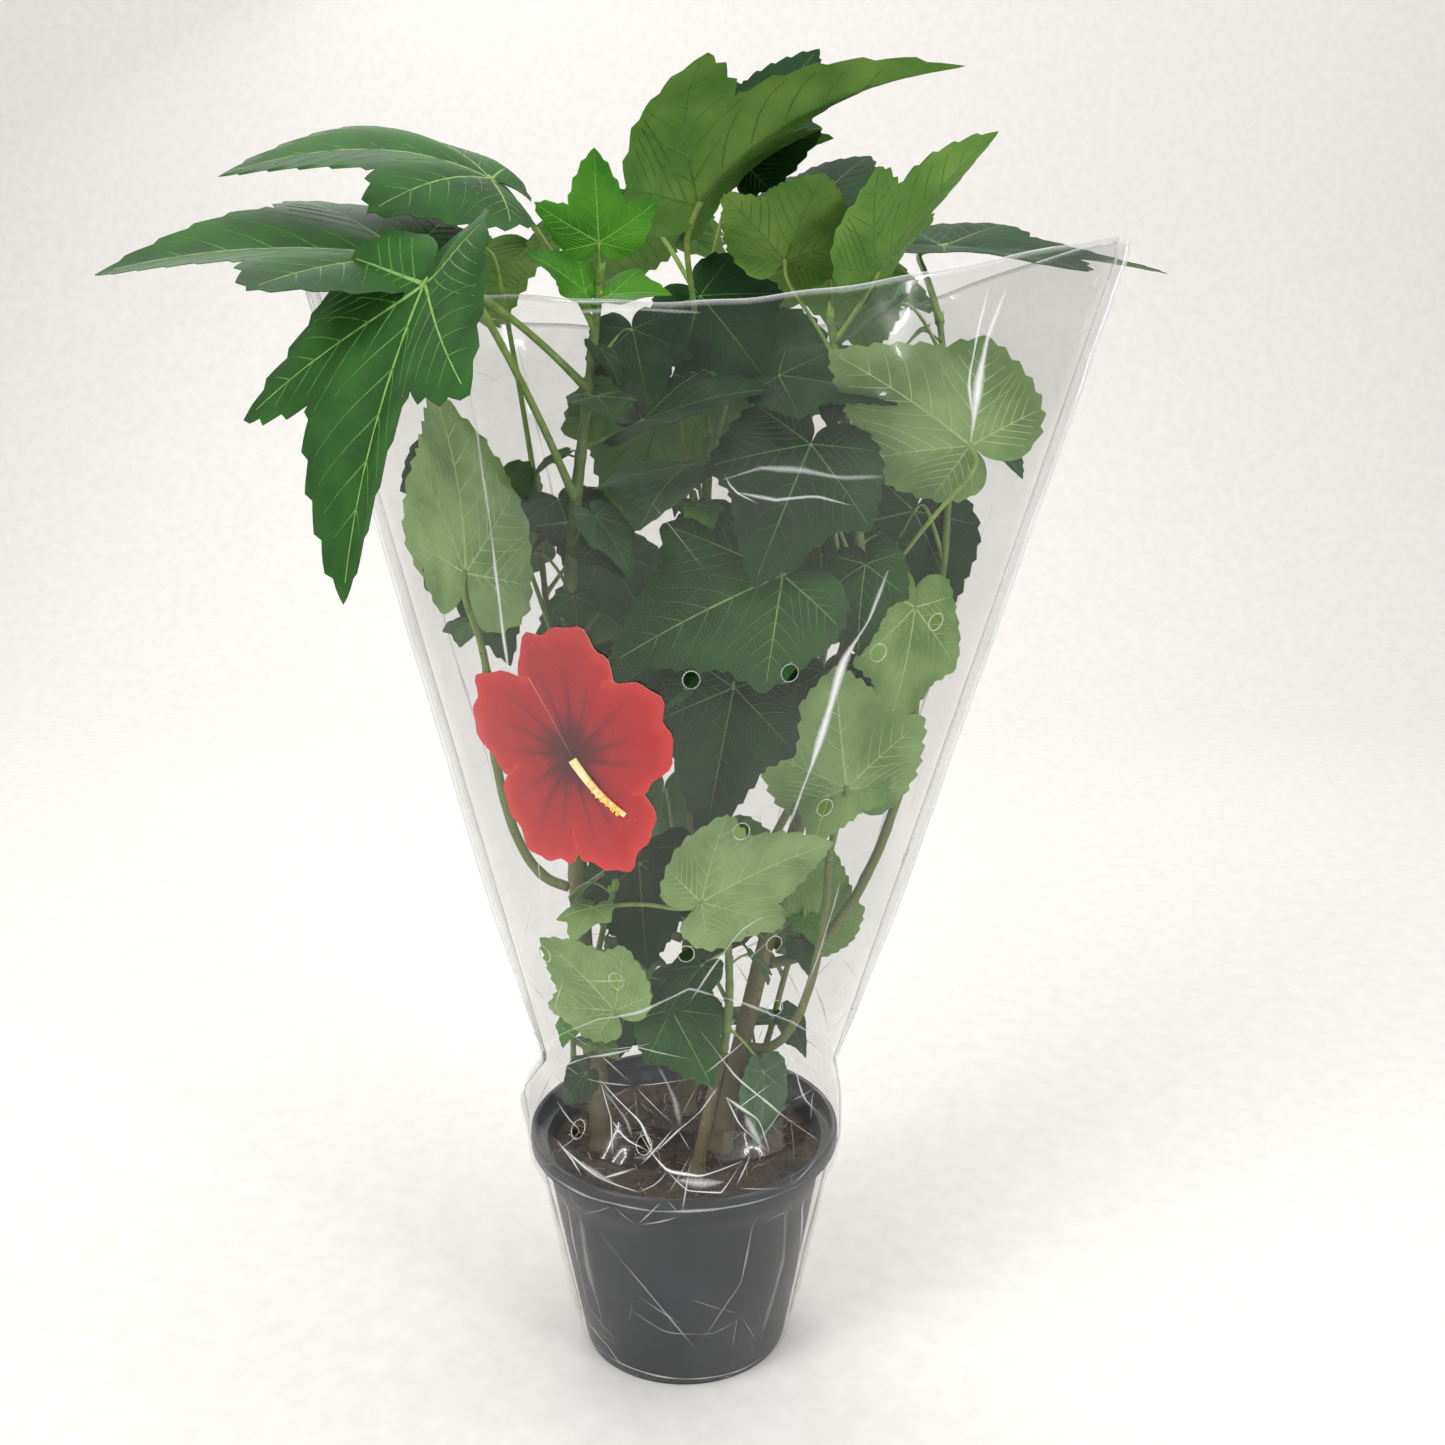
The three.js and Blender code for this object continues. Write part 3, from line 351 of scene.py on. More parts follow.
class Limb:
    """A stem, bough or shoot: its middle line and its radii."""

    def __init__(self, points, radii):
        self.points = [vec(p) for p in points]
        self.radii = list(radii)

    def at(self, share):
        place = share * (len(self.points) - 1)
        i = min(int(place), len(self.points) - 2)
        point = self.points[i] + (self.points[i + 1] - self.points[i]) * (place - i)
        along = unit(self.points[i + 1] - self.points[i])
        return point, along, self.radii[i] + (self.radii[i + 1] - self.radii[i]) * (place - i)

    def side_start(self, share, bearing):
        point, along, radius = self.at(share)
        away = heading(bearing, 0)
        away = unit(away - along * away.dot(along))
        return point + away * (radius + CLEAR), away

    def measure(self):
        points = np.array(self.points)
        self.start, self.end, self.radius = points[:-1], points[1:], np.array(self.radii[:-1])
        self.triangles = np.zeros((0, 3, 3))
        self.half = 0
        self.low, self.high = points.min(0) - self.radii[0], points.max(0) + self.radii[0]
        return self


def even_radii(count, root, end):
    return [root + (end - root) * i / (count - 1) for i in range(count)]


def grow_stems():
    limbs = {}
    for name, stem in STEMS.items():
        points = catmull_points(stem["path"], STEM_STEPS)
        radii = even_radii(len(points), stem["foot"], stem["tip"])
        points[0] = points[0] + [0, 0, CLEAR]
        span = np.linalg.norm(points[1] - points[0])
        points.insert(1, points[0] + (points[1] - points[0]) * FLARE_HEIGHT / span)
        radii.insert(1, stem["foot"])
        radii[0] = stem["foot"] * FOOT_FLARE
        limbs[name] = Limb(points, radii)
    return limbs


def grow_boughs(limbs):
    for name, bough in BOUGHS.items():
        tip = vec(bough["tip"])
        parent = limbs[bough["from"]]
        way = tip - parent.at(bough["share"])[0]
        start, away = parent.side_start(bough["share"], math.degrees(math.atan2(way[1], way[0])))
        reach = np.linalg.norm(start - tip)
        leaving = start + away * reach * BOUGH_CURVE["leaving"]
        rising = tip + [0, 0, -reach * BOUGH_CURVE["rising"]]
        points = bezier_points([start, leaving, rising, tip], BOUGH_CURVE["steps"])
        limbs[name] = Limb(points, even_radii(len(points), bough["root"], bough["end"]))


def grow_shoot(mass, limbs):
    """A mass's own stem, from just off its limb."""
    limb = limbs[mass["from"]]
    if "side" in mass:
        start, away = limb.side_start(mass["side"]["share"], mass["side"]["bearing"])
        root = SHOOT["side_radius"]
    else:
        away = unit(limb.points[-1] - limb.points[-2])
        start = limb.points[-1] + away * CLEAR
        root = limb.radii[-1]
    corners = [start, start + away * SHOOT["straight"], *mass["path"]]
    points = catmull_points(corners, SHOOT["steps"])
    end = min(root * SHOOT["taper"], SHOOT["end_radius"])
    return Limb(points, even_radii(len(points), root, end))


def outline_reach(angle, lobing):
    degrees = np.abs(angle)
    lobed = np.interp(degrees, *zip(*LOBED))
    heart = np.interp(degrees, *zip(*HEART))
    return heart + (lobed - heart) * lobing


class Leaf:
    """A leaf whose bent middle lobe ends at its tip, with its upper side turned to a direction."""

    def __init__(self, shoot, share, joint, tip, face, lobing, fold, finish="dark", bend=BEND):
        to_tip = tip - joint
        stretch = math.hypot(1, bend)
        self.length = np.linalg.norm(to_tip) / stretch
        to_tip = unit(to_tip)
        facing = unit(face - to_tip * face.dot(to_tip))
        self.forward = (to_tip + facing * bend) / stretch
        self.up = (facing - to_tip * bend) / stretch
        self.side = np.cross(self.up, self.forward)
        self.root = shoot.at(share)[0]
        self.joint, self.lobing, self.fold, self.bend, self.finish = joint, lobing, fold, bend, finish

    def surface(self, x, y, lift=0, soft=0):
        """Points of the blade, at shares of its length ahead of the joint and to the side."""
        fold = math.radians(self.fold)
        across = np.sqrt(y ** 2 + soft ** 2) - soft
        height = across * math.sin(fold) - self.bend * (x ** 2 + y ** 2) + lift
        flat = np.multiply.outer(x, self.forward) + np.multiply.outer(y * math.cos(fold), self.side)
        return self.joint + self.length * (flat + np.multiply.outer(height, self.up))

    def polar(self, angle, share):
        reach = outline_reach(angle, self.lobing) * share
        return self.surface(reach * np.cos(np.radians(angle)), reach * np.sin(np.radians(angle)))

    def stalk_line(self, steps=2):
        elbow = self.joint - self.forward * self.length * ELBOW["behind"]
        elbow = elbow - self.up * self.length * ELBOW["under"]
        middle = (self.root + elbow) / 2 + [0, 0, np.linalg.norm(self.root - elbow) * STALK_ARCH]
        return bezier_points([self.root, middle, elbow], steps)

    def measure(self):
        rim = self.polar(np.array(RIM_ANGLES, float), 1)
        hub = self.polar(np.array([0.0]), BLADE_HUB)[0]
        after = np.roll(rim, -1, axis=0)
        hubs = np.repeat(hub[None], len(rim), axis=0)
        line = np.array([*self.stalk_line(), self.joint])
        self.half = 0.5 * BLADE_THICKNESS * self.length
        self.stalk_width = 0.5 * STALK_WIDTH * self.length + 0.5
        self.start = np.concatenate([hubs, rim, line[:-1]])
        self.end = np.concatenate([rim, after, line[1:]])
        stalk_radius = math.sqrt(2) * self.stalk_width
        self.radius = np.array([self.half] * (2 * len(rim)) + [stalk_radius] * (len(line) - 1))
        self.triangles = np.stack([hubs, rim, after], axis=1)
        every = np.concatenate([rim, line, hub[None]])
        self.low = every.min(0) - 2 * self.stalk_width
        self.high = every.max(0) + 2 * self.stalk_width
        return self


def rods_too_near(a, b, radius_b):
    """Whether any rod of a leaf has less than the least room to any of a crowd's rods."""
    p, d = a.start[:, None], (a.end - a.start)[:, None]
    r, e = b[0][None], (b[1] - b[0])[None]
    w = p - r
    dd, ee, de = (d * d).sum(-1), (e * e).sum(-1), (d * e).sum(-1)
    dw, ew = (d * w).sum(-1), (e * w).sum(-1)
    cross = dd * ee - de * de
    safe = np.where(cross > 1e-9, cross, 1)
    first = np.where(cross > 1e-9, np.clip((de * ew - ee * dw) / safe, 0, 1), 0)
    second = np.clip((de * first + ew) / ee, 0, 1)
    first = np.clip((de * second - dw) / dd, 0, 1)
    gap = np.linalg.norm(w + d * first[..., None] - e * second[..., None], axis=-1)
    return bool((gap < a.radius[:, None] + radius_b[None] + ROOM).any())


def rods_meet_blades(start, end, radius, triangles, half):
    """Whether a rod's end comes near a triangle's face, or the rod crosses it."""
    if len(triangles) == 0 or len(start) == 0:
        return False
    a, u, v = triangles[:, 0], triangles[:, 1] - triangles[:, 0], triangles[:, 2] - triangles[:, 0]
    normal = np.cross(u, v)
    normal /= np.linalg.norm(normal, axis=1)[:, None]
    uu, vv, uv = (u * u).sum(1), (v * v).sum(1), (u * v).sum(1)
    area = uu * vv - uv * uv

    def inside(points):
        w = points - a[None]
        wu, wv = (w * u[None]).sum(-1), (w * v[None]).sum(-1)
        s, t = (vv * wu - uv * wv) / area, (uu * wv - uv * wu) / area
        return (s >= 0) & (t >= 0) & (s + t <= 1)

    from_start = ((start[:, None] - a[None]) * normal[None]).sum(-1)
    from_end = ((end[:, None] - a[None]) * normal[None]).sum(-1)
    room = radius[:, None] + half[None] + ROOM
    for points, gap in ((start, from_start), (end, from_end)):
        close = np.abs(gap) < room
        if close.any() and (close & inside(np.broadcast_to(points[:, None], gap.shape + (3,)))).any():
            return True
    through = from_start * from_end < 0
    if not through.any():
        return False
    share = from_start / np.where(through, from_start - from_end, 1)
    crossing = start[:, None] + (end - start)[:, None] * share[..., None]
    return bool((through & inside(crossing)).any())


class Crowd:
    """Leaves and limbs that a new leaf keeps clear of."""

    def __init__(self, members):
        self.members = list(members)
        self.low = np.array([m.low for m in self.members]).reshape(-1, 3)
        self.high = np.array([m.high for m in self.members]).reshape(-1, 3)

    def meets(self, leaf):
        near = np.all((leaf.low <= self.high) & (self.low <= leaf.high), axis=1)
        members = [self.members[i] for i in np.flatnonzero(near)]
        if not members:
            return False
        keys = ("start", "end", "radius", "triangles")
        start, end, radius, triangles = (np.concatenate([getattr(m, key) for m in members]) for key in keys)
        if rods_too_near(leaf, (start, end), radius):
            return True
        half = np.concatenate([np.full(len(m.triangles), m.half) for m in members])
        own_half = np.full(len(leaf.triangles), leaf.half)
        return (rods_meet_blades(leaf.start, leaf.end, leaf.radius, triangles, half)
                or rods_meet_blades(start, end, radius, leaf.triangles, own_half))


def inside_sleeve(points):
    bearing = np.degrees(np.arctan2(points[..., 1], points[..., 0]))
    return sleeve_reach(bearing, points[..., 2]) - np.hypot(points[..., 0], points[..., 1])


def meets_sleeve(leaf):
    """A rod is well inside the film, well outside it, or above its mouth, all along."""
    steps = np.ceil(np.linalg.norm(leaf.end - leaf.start, axis=1) / FILM_SAMPLE).astype(int)
    which = np.repeat(np.arange(len(steps)), steps + 1)
    first = np.repeat(np.cumsum(steps + 1) - steps - 1, steps + 1)
    share = (np.arange(len(which)) - first) / steps[which]
    points = leaf.start[which] + (leaf.end - leaf.start)[which] * share[:, None]
    radius = leaf.radius[which]
    bearing = np.degrees(np.arctan2(points[:, 1], points[:, 0]))
    below = points[:, 2] < mouth_height(bearing) + ROOM + radius
    return bool((below & (np.abs(inside_sleeve(points)) < SLEEVE_ROOM + radius)).any())


def leaf_fits(leaf, crowd):
    lowest = np.minimum(leaf.start[:, 2], leaf.end[:, 2]) - leaf.radius
    if lowest.min() < SOIL_TOP + SOIL_ROOM:
        return False
    return not meets_sleeve(leaf) and not crowd.meets(leaf)


def settle(shoot, row, crowd):
    """A standing leaf keeps its place if it can, or slides the least way that gives it room."""
    share, joint, tip, face, lobing, fold, finish, *bend = row
    joint, tip = vec(joint), vec(tip)
    outside = inside_sleeve(tip) < 0
    off = unit(tip * [1, 1, 0]) * (SLIDE["step"] if outside else -SLIDE["step"])
    if outside:
        off[2] = SLIDE["lift"]
    for reach in range(SLIDE["reach"] + 1):
        for away in range(reach + 1):
            slide = reach - away
            for a in range(-slide, slide + 1):
                for b in range(-slide, slide + 1):
                    if max(abs(a), abs(b)) != slide:
                        continue
                    moved_joint = joint + off * away + [0, a * SLIDE["step"], 0]
                    moved_tip = tip + off * away + [0, b * SLIDE["step"], 0]
                    place = moved_joint, moved_tip, heading(*face)
                    leaf = Leaf(shoot, share, *place, lobing, fold, finish, *bend)
                    if leaf_fits(leaf.measure(), crowd):
                        return leaf
    return None


def grow_seeded(shoot, rule, seed, others, finishes):
    """Leaves climb the shoot by the golden turn, and one without room is tried smaller and turned."""
    draw = seeded_numbers(seed)

    def spread(width):
        return (draw() - 0.5) * width

    start = draw() * 360
    leaves = []
    crowd = Crowd(others)
    for k in range(rule["seeded"]):
        share = rule.get("lowest", 0) + (1 - rule.get("lowest", 0)) * (k + 0.6) / rule["seeded"]
        for attempt in range(rule.get("tries", SEEDED["tries"])):
            size = SEEDED["shrink"] ** attempt
            bearing = start + TURN * k + spread(SEEDED["bearing_spread"] + attempt * SEEDED["bearing_widen"])
            rise = SEEDED["rise"] + spread(SEEDED["rise_spread"] + attempt * SEEDED["rise_widen"])
            blade = bearing + spread(SEEDED["bearing_spread"])
            pitch = SEEDED["blade_rise"] + spread(SEEDED["blade_spread"])
            roll = spread(SEEDED["roll_spread"])
            length = rule["blade"] * size * (1 + spread(SEEDED["length_spread"]))
            lobing = SEEDED["least_lobing"] + SEEDED["lobing_spread"] * draw()
            joint = shoot.at(share)[0] + heading(bearing, rise) * rule["stalk"] * size
            tip = joint + heading(blade, pitch) * length
            face = heading(blade + roll, pitch + 90 - abs(roll))
            finish = finishes[k % len(finishes)]
            leaf = Leaf(shoot, share, joint, tip, face, lobing, FOLD, finish).measure()
            if leaf_fits(leaf, crowd):
                leaves.append(leaf)
                crowd = Crowd([*others, *leaves])
                break
    return leaves


def grow_masses(limbs):
    names = list(MASSES)
    shoots = [grow_shoot(MASSES[name], limbs).measure() for name in names]
    wood = [limb.measure() for limb in limbs.values()]
    leaves = [[] for _ in names]
    rest = [wood + [s for k, s in enumerate(shoots) if k != i] for i in range(len(names))]
    for i, name in enumerate(names):
        for row in MASSES[name]["standing"]:
            elsewhere = [leaf for k, grown in enumerate(leaves) if k != i for leaf in grown]
            leaf = settle(shoots[i], row, Crowd(rest[i] + elsewhere))
            if leaf is not None:
                leaves[i].append(leaf)
    for i, name in enumerate(names):
        seed = SEEDED["first_seed"] + i * SEEDED["next_seed"]
        grown = rest[i] + [leaf for mass in leaves for leaf in mass]
        leaves[i] += grow_seeded(shoots[i], MASSES[name], seed, grown, ["dark", "mid", "dark", "grey"])
    for rule, chosen, looks in (
        (STEM_LEAVES, ["leaves_left_top"], ["dark", "mid", "grey"]), (FINE, names, ["fresh", "dark"]),
        (WHORL, names, ["young"]),
    ):
        for name in chosen:
            i = names.index(name)
            grown = rest[i] + [leaf for mass in leaves for leaf in mass]
            finer = {**rule, "seeded": rule["count"]}
            leaves[i] += grow_seeded(shoots[i], finer, rule["seed"] + i, grown, looks)
    return {name: (shoots[i], leaves[i]) for i, name in enumerate(names)}


# Finishes.

def rgb(red, green, blue):
    """A colour as the eye reads it, from 0 to 255, turned into what the shaders take."""
    shares = [value / 255 for value in (red, green, blue)]
    return tuple(s / 12.92 if s <= 0.04045 else ((s + 0.055) / 1.055) ** 2.4 for s in shares) + (1,)


class Signal:
    """An output of a shader's node. Arithmetic on it adds Math nodes."""

    def __init__(self, finish, output):
        self.finish, self.output = finish, output

    def combine(self, operation, first, second):
        return self.finish.node("ShaderNodeMath", {"operation": operation}, {0: first, 1: second})

    def __add__(self, other):
        return self.combine("ADD", self, other)

    def __radd__(self, other):
        return self.combine("ADD", other, self)

    def __sub__(self, other):
        return self.combine("SUBTRACT", self, other)

    def __rsub__(self, other):
        return self.combine("SUBTRACT", other, self)

    def __mul__(self, other):
        return self.combine("MULTIPLY", self, other)

    def __rmul__(self, other):
        return self.combine("MULTIPLY", other, self)


class Finish:
    """A material with one Principled surface, built node by node."""

    def __init__(self, name):
        self.material = bpy.data.materials.new(name)
        self.material.use_nodes = True
        self.tree = self.material.node_tree
        self.tree.nodes.clear()
        self.place = self.node("ShaderNodeTexCoord", output="Object")

    def node(self, kind, settings=None, sockets=None, output=0):
        made = self.tree.nodes.new(kind)
        for key, value in (settings or {}).items():
            if key == "stops":
                ramp = made.color_ramp
                ramp.elements[0].position, ramp.elements[0].color = value[0]
                ramp.elements[1].position, ramp.elements[1].color = value[-1]
                for position, colour in value[1:-1]:
                    ramp.elements.new(position).color = colour
            else:
                setattr(made, key, value)
        for key, value in (sockets or {}).items():
            if isinstance(value, Signal):
                self.tree.links.new(value.output, made.inputs[key])
            else:
                made.inputs[key].default_value = value
        return None if output is None else Signal(self, made.outputs[output])

    def noise(self, scale, detail=3, roughness=0.55, place=None):
        sockets = {"Vector": place or self.place, "Scale": scale, "Detail": detail, "Roughness": roughness}
        return self.node("ShaderNodeTexNoise", None, sockets)

    def cells(self, scale, feature="F1", place=None):
        sockets = {"Vector": place or self.place, "Scale": scale}
        return self.node("ShaderNodeTexVoronoi", {"feature": feature}, sockets)

    def stretched(self, scale):
        return self.node("ShaderNodeMapping", None, {"Vector": self.place, "Scale": scale})

    def ramp(self, signal, *stops):
        return self.node("ShaderNodeValToRGB", {"stops": stops}, {"Fac": signal})

    def level(self, signal, low, high):
        """The signal's share of the way from low to high, held from 0 to 1."""
        return self.node("ShaderNodeMapRange", {"clamp": True}, {"Value": signal, 1: low, 2: high})

    def blend(self, share, first, second):
        return self.node("ShaderNodeMix", {"data_type": "RGBA"}, {0: share, 6: first, 7: second}, 2)

    def attribute(self, name):
        return self.node("ShaderNodeAttribute", {"attribute_name": name}, None, "Fac")

    def bump(self, height, strength, distance):
        sockets = {"Height": height, "Strength": strength, "Distance": distance}
        return self.node("ShaderNodeBump", None, sockets)

    def surface(self, **sockets):
        named = {key.replace("_", " "): value for key, value in sockets.items()}
        shader = self.node("ShaderNodeBsdfPrincipled", None, named)
        self.node("ShaderNodeOutputMaterial", None, {"Surface": shader}, None)
        return self.material


def leaf_finish(name, dark, light, roughness):
    """A blade: soft patches of colour, a fine net of raised cells and an uneven gloss."""
    f = Finish(name)
    patches = f.noise(24, 3)
    net = f.cells(230)
    colour = f.blend(f.level(patches, 0.38, 0.64), dark, light)
    height = 1 - net
    return f.surface(
        Base_Color=f.blend(f.level(net, 0.5, 0.9) * 0.18, colour, light),
        Roughness=roughness + patches * 0.16,
        Normal=f.bump(height, 0.16, 0.0004),
        Specular_IOR_Level=0.2,
    )


def plain_leaf_finish(name, dark, light, roughness):
    """Veins, stalks and buds: fine streaks of two near colours."""
    f = Finish(name)
    streaks = f.noise(180, 3)
    return f.surface(
        Base_Color=f.blend(f.level(streaks, 0.35, 0.65), dark, light),
        Roughness=roughness + streaks * 0.15,
        Normal=f.bump(f.noise(700, 2), 0.3, 0.0003),
        Specular_IOR_Level=0.4,
    )


def wood_finish(name, foot, tip, foot_height, tip_height):
    """Young bark: brown at the foot, green at the tip, with long cracks and pale pores."""
    f = Finish(name)
    height = f.node("ShaderNodeSeparateXYZ", None, {0: f.place}, 2)
    streaks = f.noise(60, 5, 0.6, f.stretched((1, 1, 0.12)))
    fine = f.noise(400, 3, 0.6, f.stretched((1, 1, 0.2)))
    pores = f.cells(240, "F1", f.stretched((1, 1, 0.45)))
    green = f.level(height + streaks * 0.05, foot_height * MM, tip_height * MM)
    bark = f.blend(green, foot, tip)
    lighter = f.blend(f.level(streaks, 0.35, 0.7) * 0.45, bark, rgb(150, 140, 100))
    pore = 1 - f.level(pores, 0.12, 0.2)
    return f.surface(
        Base_Color=f.blend(pore * 0.5, lighter, rgb(176, 166, 130)),
        Roughness=0.55 + fine * 0.25,
        Normal=f.bump(streaks * 0.8 + fine * 0.4 + pore * 0.5, 0.7, 0.0008),
        Specular_IOR_Level=0.35,
    )


def pot_finish():
    """Dark moulded plastic with faint rings and a little dust."""
    f = Finish("moulded_pot")
    dust = f.noise(22, 5)
    rings = f.noise(90, 2, 0.5, f.stretched((0.05, 0.05, 1)))
    return f.surface(
        Base_Color=f.blend(f.level(dust, 0.45, 0.8) * 0.4, rgb(32, 36, 43), rgb(62, 66, 72)),
        Roughness=0.28 + dust * 0.14,
        Normal=f.bump(rings, 0.07, 0.0003),
        Specular_IOR_Level=0.5,
    )


def soil_finish():
    f = Finish("potting_soil")
    clods = f.noise(70, 6, 0.65)
    crumbs = f.cells(330)
    specks = f.cells(520)
    brown = f.blend(f.level(clods, 0.32, 0.66), rgb(34, 26, 20), rgb(92, 74, 58))
    speck = 1 - f.level(specks, 0.1, 0.2)
    return f.surface(
        Base_Color=f.blend(speck * 0.35, brown, rgb(150, 128, 100)),
        Roughness=0.85 + clods * 0.1,
        Normal=f.bump(clods + crumbs * 0.6, 0.9, 0.002),
        Specular_IOR_Level=0.2,
    )


def film_finish(name, clear, highlight_strength):
    """Clear wrapping film: a faint grey haze in patches, and a painted white highlight along its cut edges
    and seam lines.
    """
    f = Finish(name)
    # Painted highlight: where this attribute is set, the film turns white and more opaque.
    edge = f.attribute("crease")
    haze = f.noise(9, 1)
    crinkle = f.noise(30, 0)
    return f.surface(
        Base_Color=f.blend(edge, rgb(64, 64, 62), rgb(250, 250, 250)),
        Roughness=0.08 + haze * 0.1,
        Alpha=clear + f.level(haze, 0.45, 0.75) * clear * 0.5 + edge * highlight_strength,
        Normal=f.bump(crinkle, 0.25, 0.0012),
        Specular_IOR_Level=1.0,
        IOR=1.7,
        Coat_Weight=1.0,
        Coat_Roughness=0.04,
        Coat_IOR=1.7,
    )


def label_finish():
    """A printed red bloom: dark throat, red petals with streaks that run outwards, paler margin."""
    f = Finish("label_petals")
    reach = f.attribute("bloom")
    streak = f.attribute("streak")
    fine = f.noise(120, 4)
    red = f.ramp(
        reach, (0.0, rgb(44, 2, 8)), (0.2, rgb(88, 5, 14)), (0.42, rgb(150, 12, 20)),
        (0.85, rgb(168, 14, 18)), (1.0, rgb(190, 40, 38)),
    )
    return f.surface(
        Base_Color=f.blend(f.level(streak + fine * 0.3, 0.45, 1.0) * 0.75, red, rgb(80, 3, 12)),
        Roughness=0.24 + fine * 0.1,
        Normal=f.bump(streak, 0.25, 0.0004),
        Coat_Weight=0.6,
        Coat_Roughness=0.1,
    )


def paper_finish(name, first, second, roughness):
    f = Finish(name)
    fine = f.noise(160, 3)
    return f.surface(
        Base_Color=f.blend(f.level(fine, 0.35, 0.65), first, second),
        Roughness=roughness + fine * 0.1,
        Normal=f.bump(fine, 0.2, 0.0003),
    )


# A blade's finish names its upper side, underside, main veins, side veins and lower veins.
LEAF_LOOKS = {
    "dark": ("blade_dark", "underside_grey", "vein_dark", "side_vein_dark", "vein_under"),
    "mid": ("blade_mid", "underside_olive", "vein_mid", "side_vein_mid", "vein_under"),
    "grey": ("blade_grey", "underside_grey", "vein_mid", "side_vein_grey", "vein_under"),
    "fresh": ("blade_fresh", "underside_pale", "vein_fresh", "side_vein_fresh", "vein_pale"),
    "young": ("blade_young", "underside_pale", "vein_young", "side_vein_young", "vein_under"),
}
# Each finish: its darker and its lighter colour, and its roughness.
BLADES = {
    "blade_dark": ((18, 48, 18), (32, 70, 27), 0.5),
    "blade_mid": ((28, 68, 20), (46, 94, 30), 0.5),
    "blade_grey": ((58, 96, 60), (88, 124, 82), 0.5),
    "blade_fresh": ((98, 136, 66), (142, 172, 100), 0.5),
    "blade_young": ((44, 108, 24), (78, 140, 36), 0.5),
    "underside_olive": ((80, 124, 48), (112, 150, 68), 0.6),
    "underside_grey": ((76, 112, 66), (104, 138, 88), 0.6),
    "underside_pale": ((104, 138, 76), (148, 174, 112), 0.6),
}
VEINS = {
    "vein_dark": ((78, 116, 54), (98, 134, 70), 0.5),
    "vein_mid": ((112, 156, 72), (138, 176, 92), 0.5),
    "vein_fresh": ((170, 196, 126), (190, 210, 148), 0.5),
    "vein_young": ((120, 176, 70), (144, 192, 92), 0.5),
    "side_vein_dark": ((42, 82, 36), (58, 98, 44), 0.5),
    "side_vein_mid": ((64, 118, 46), (82, 136, 56), 0.5),
    "side_vein_grey": ((84, 122, 78), (104, 140, 92), 0.5),
    "side_vein_fresh": ((146, 178, 102), (164, 192, 120), 0.5),
    "side_vein_young": ((92, 154, 46), (110, 168, 58), 0.5),
    "vein_under": ((66, 108, 40), (92, 132, 58), 0.55),
    "vein_pale": ((158, 188, 120), (180, 204, 142), 0.55),
}
LEAF_FINISHES = {
    name: make(name, rgb(*dark), rgb(*light), roughness)
    for looks, make in ((BLADES, leaf_finish), (VEINS, plain_leaf_finish))
    for name, (dark, light, roughness) in looks.items()
}
LEAF_SLOTS = list(LEAF_FINISHES)


# Meshes.

class Bag:
    """Points and faces that are gathered into one mesh. Points are in millimetres."""

    def __init__(self):
        self.points, self.faces, self.slots, self.count = [], [], [], 0

    def add(self, points, *face_groups):
        """Each face group is (faces, number of the finish)."""
        for faces, number in face_groups:
            faces = np.asarray(faces, int)
            if len(faces):
                self.faces.append(faces + self.count)
                self.slots.append(np.full(len(faces), number))
        self.points.append(np.asarray(points, float))
        self.count += len(points)

    def add_rings(self, rings, ends, number=0):
        """A closed body of rings of points, from one end point to the other."""
        sides = len(rings[0])
        last = (len(rings) - 1) * sides
        k = np.arange(sides)
        after = (k + 1) % sides
        fans = np.concatenate([
            np.stack([np.full(sides, last + sides), after, k], -1),
            np.stack([np.full(sides, last + sides + 1), last + k, last + after], -1),
        ])
        body = grid_faces(len(rings), sides, True)
        self.add(np.concatenate([*rings, ends]), (body, number), (fans, number))

    def piece(self, name, finishes, sharp=None):
        points = np.concatenate(self.points) * MM
        sizes = np.concatenate([np.full(len(f), f.shape[1]) for f in self.faces])
        corners = np.concatenate([f.ravel() for f in self.faces])
        mesh = bpy.data.meshes.new(name)
        mesh.vertices.add(len(points))
        mesh.vertices.foreach_set("co", points.ravel().astype(np.float32))
        mesh.loops.add(len(corners))
        mesh.loops.foreach_set("vertex_index", corners.astype(np.int32))
        mesh.polygons.add(len(sizes))
        mesh.polygons.foreach_set("loop_start", (np.cumsum(sizes) - sizes).astype(np.int32))
        mesh.polygons.foreach_set("material_index", np.concatenate(self.slots).astype(np.int32))
        mesh.polygons.foreach_set("use_smooth", np.ones(len(sizes), bool))
        mesh.update(calc_edges=True)
        mesh.validate()
        if sharp is not None:
            mesh.set_sharp_from_angle(angle=math.radians(sharp))
        for finish in finishes:
            mesh.materials.append(finish)
        thing = bpy.data.objects.new(name, mesh)
        bpy.context.scene.collection.objects.link(thing)
        return thing


def grid_faces(rows, columns, closed=False, ring=False):
    """Quads of a grid of points stored row by row. Closed joins its columns round, and ring its rows."""
    row, column = np.arange(rows if ring else rows - 1), np.arange(columns if closed else columns - 1)
    i, j = np.meshgrid(row, column, indexing="ij")
    here, there, after = i * columns, (i + 1) % rows * columns, (j + 1) % columns
    return np.stack([here + j, here + after, there + after, there + j], -1).reshape(-1, 4)


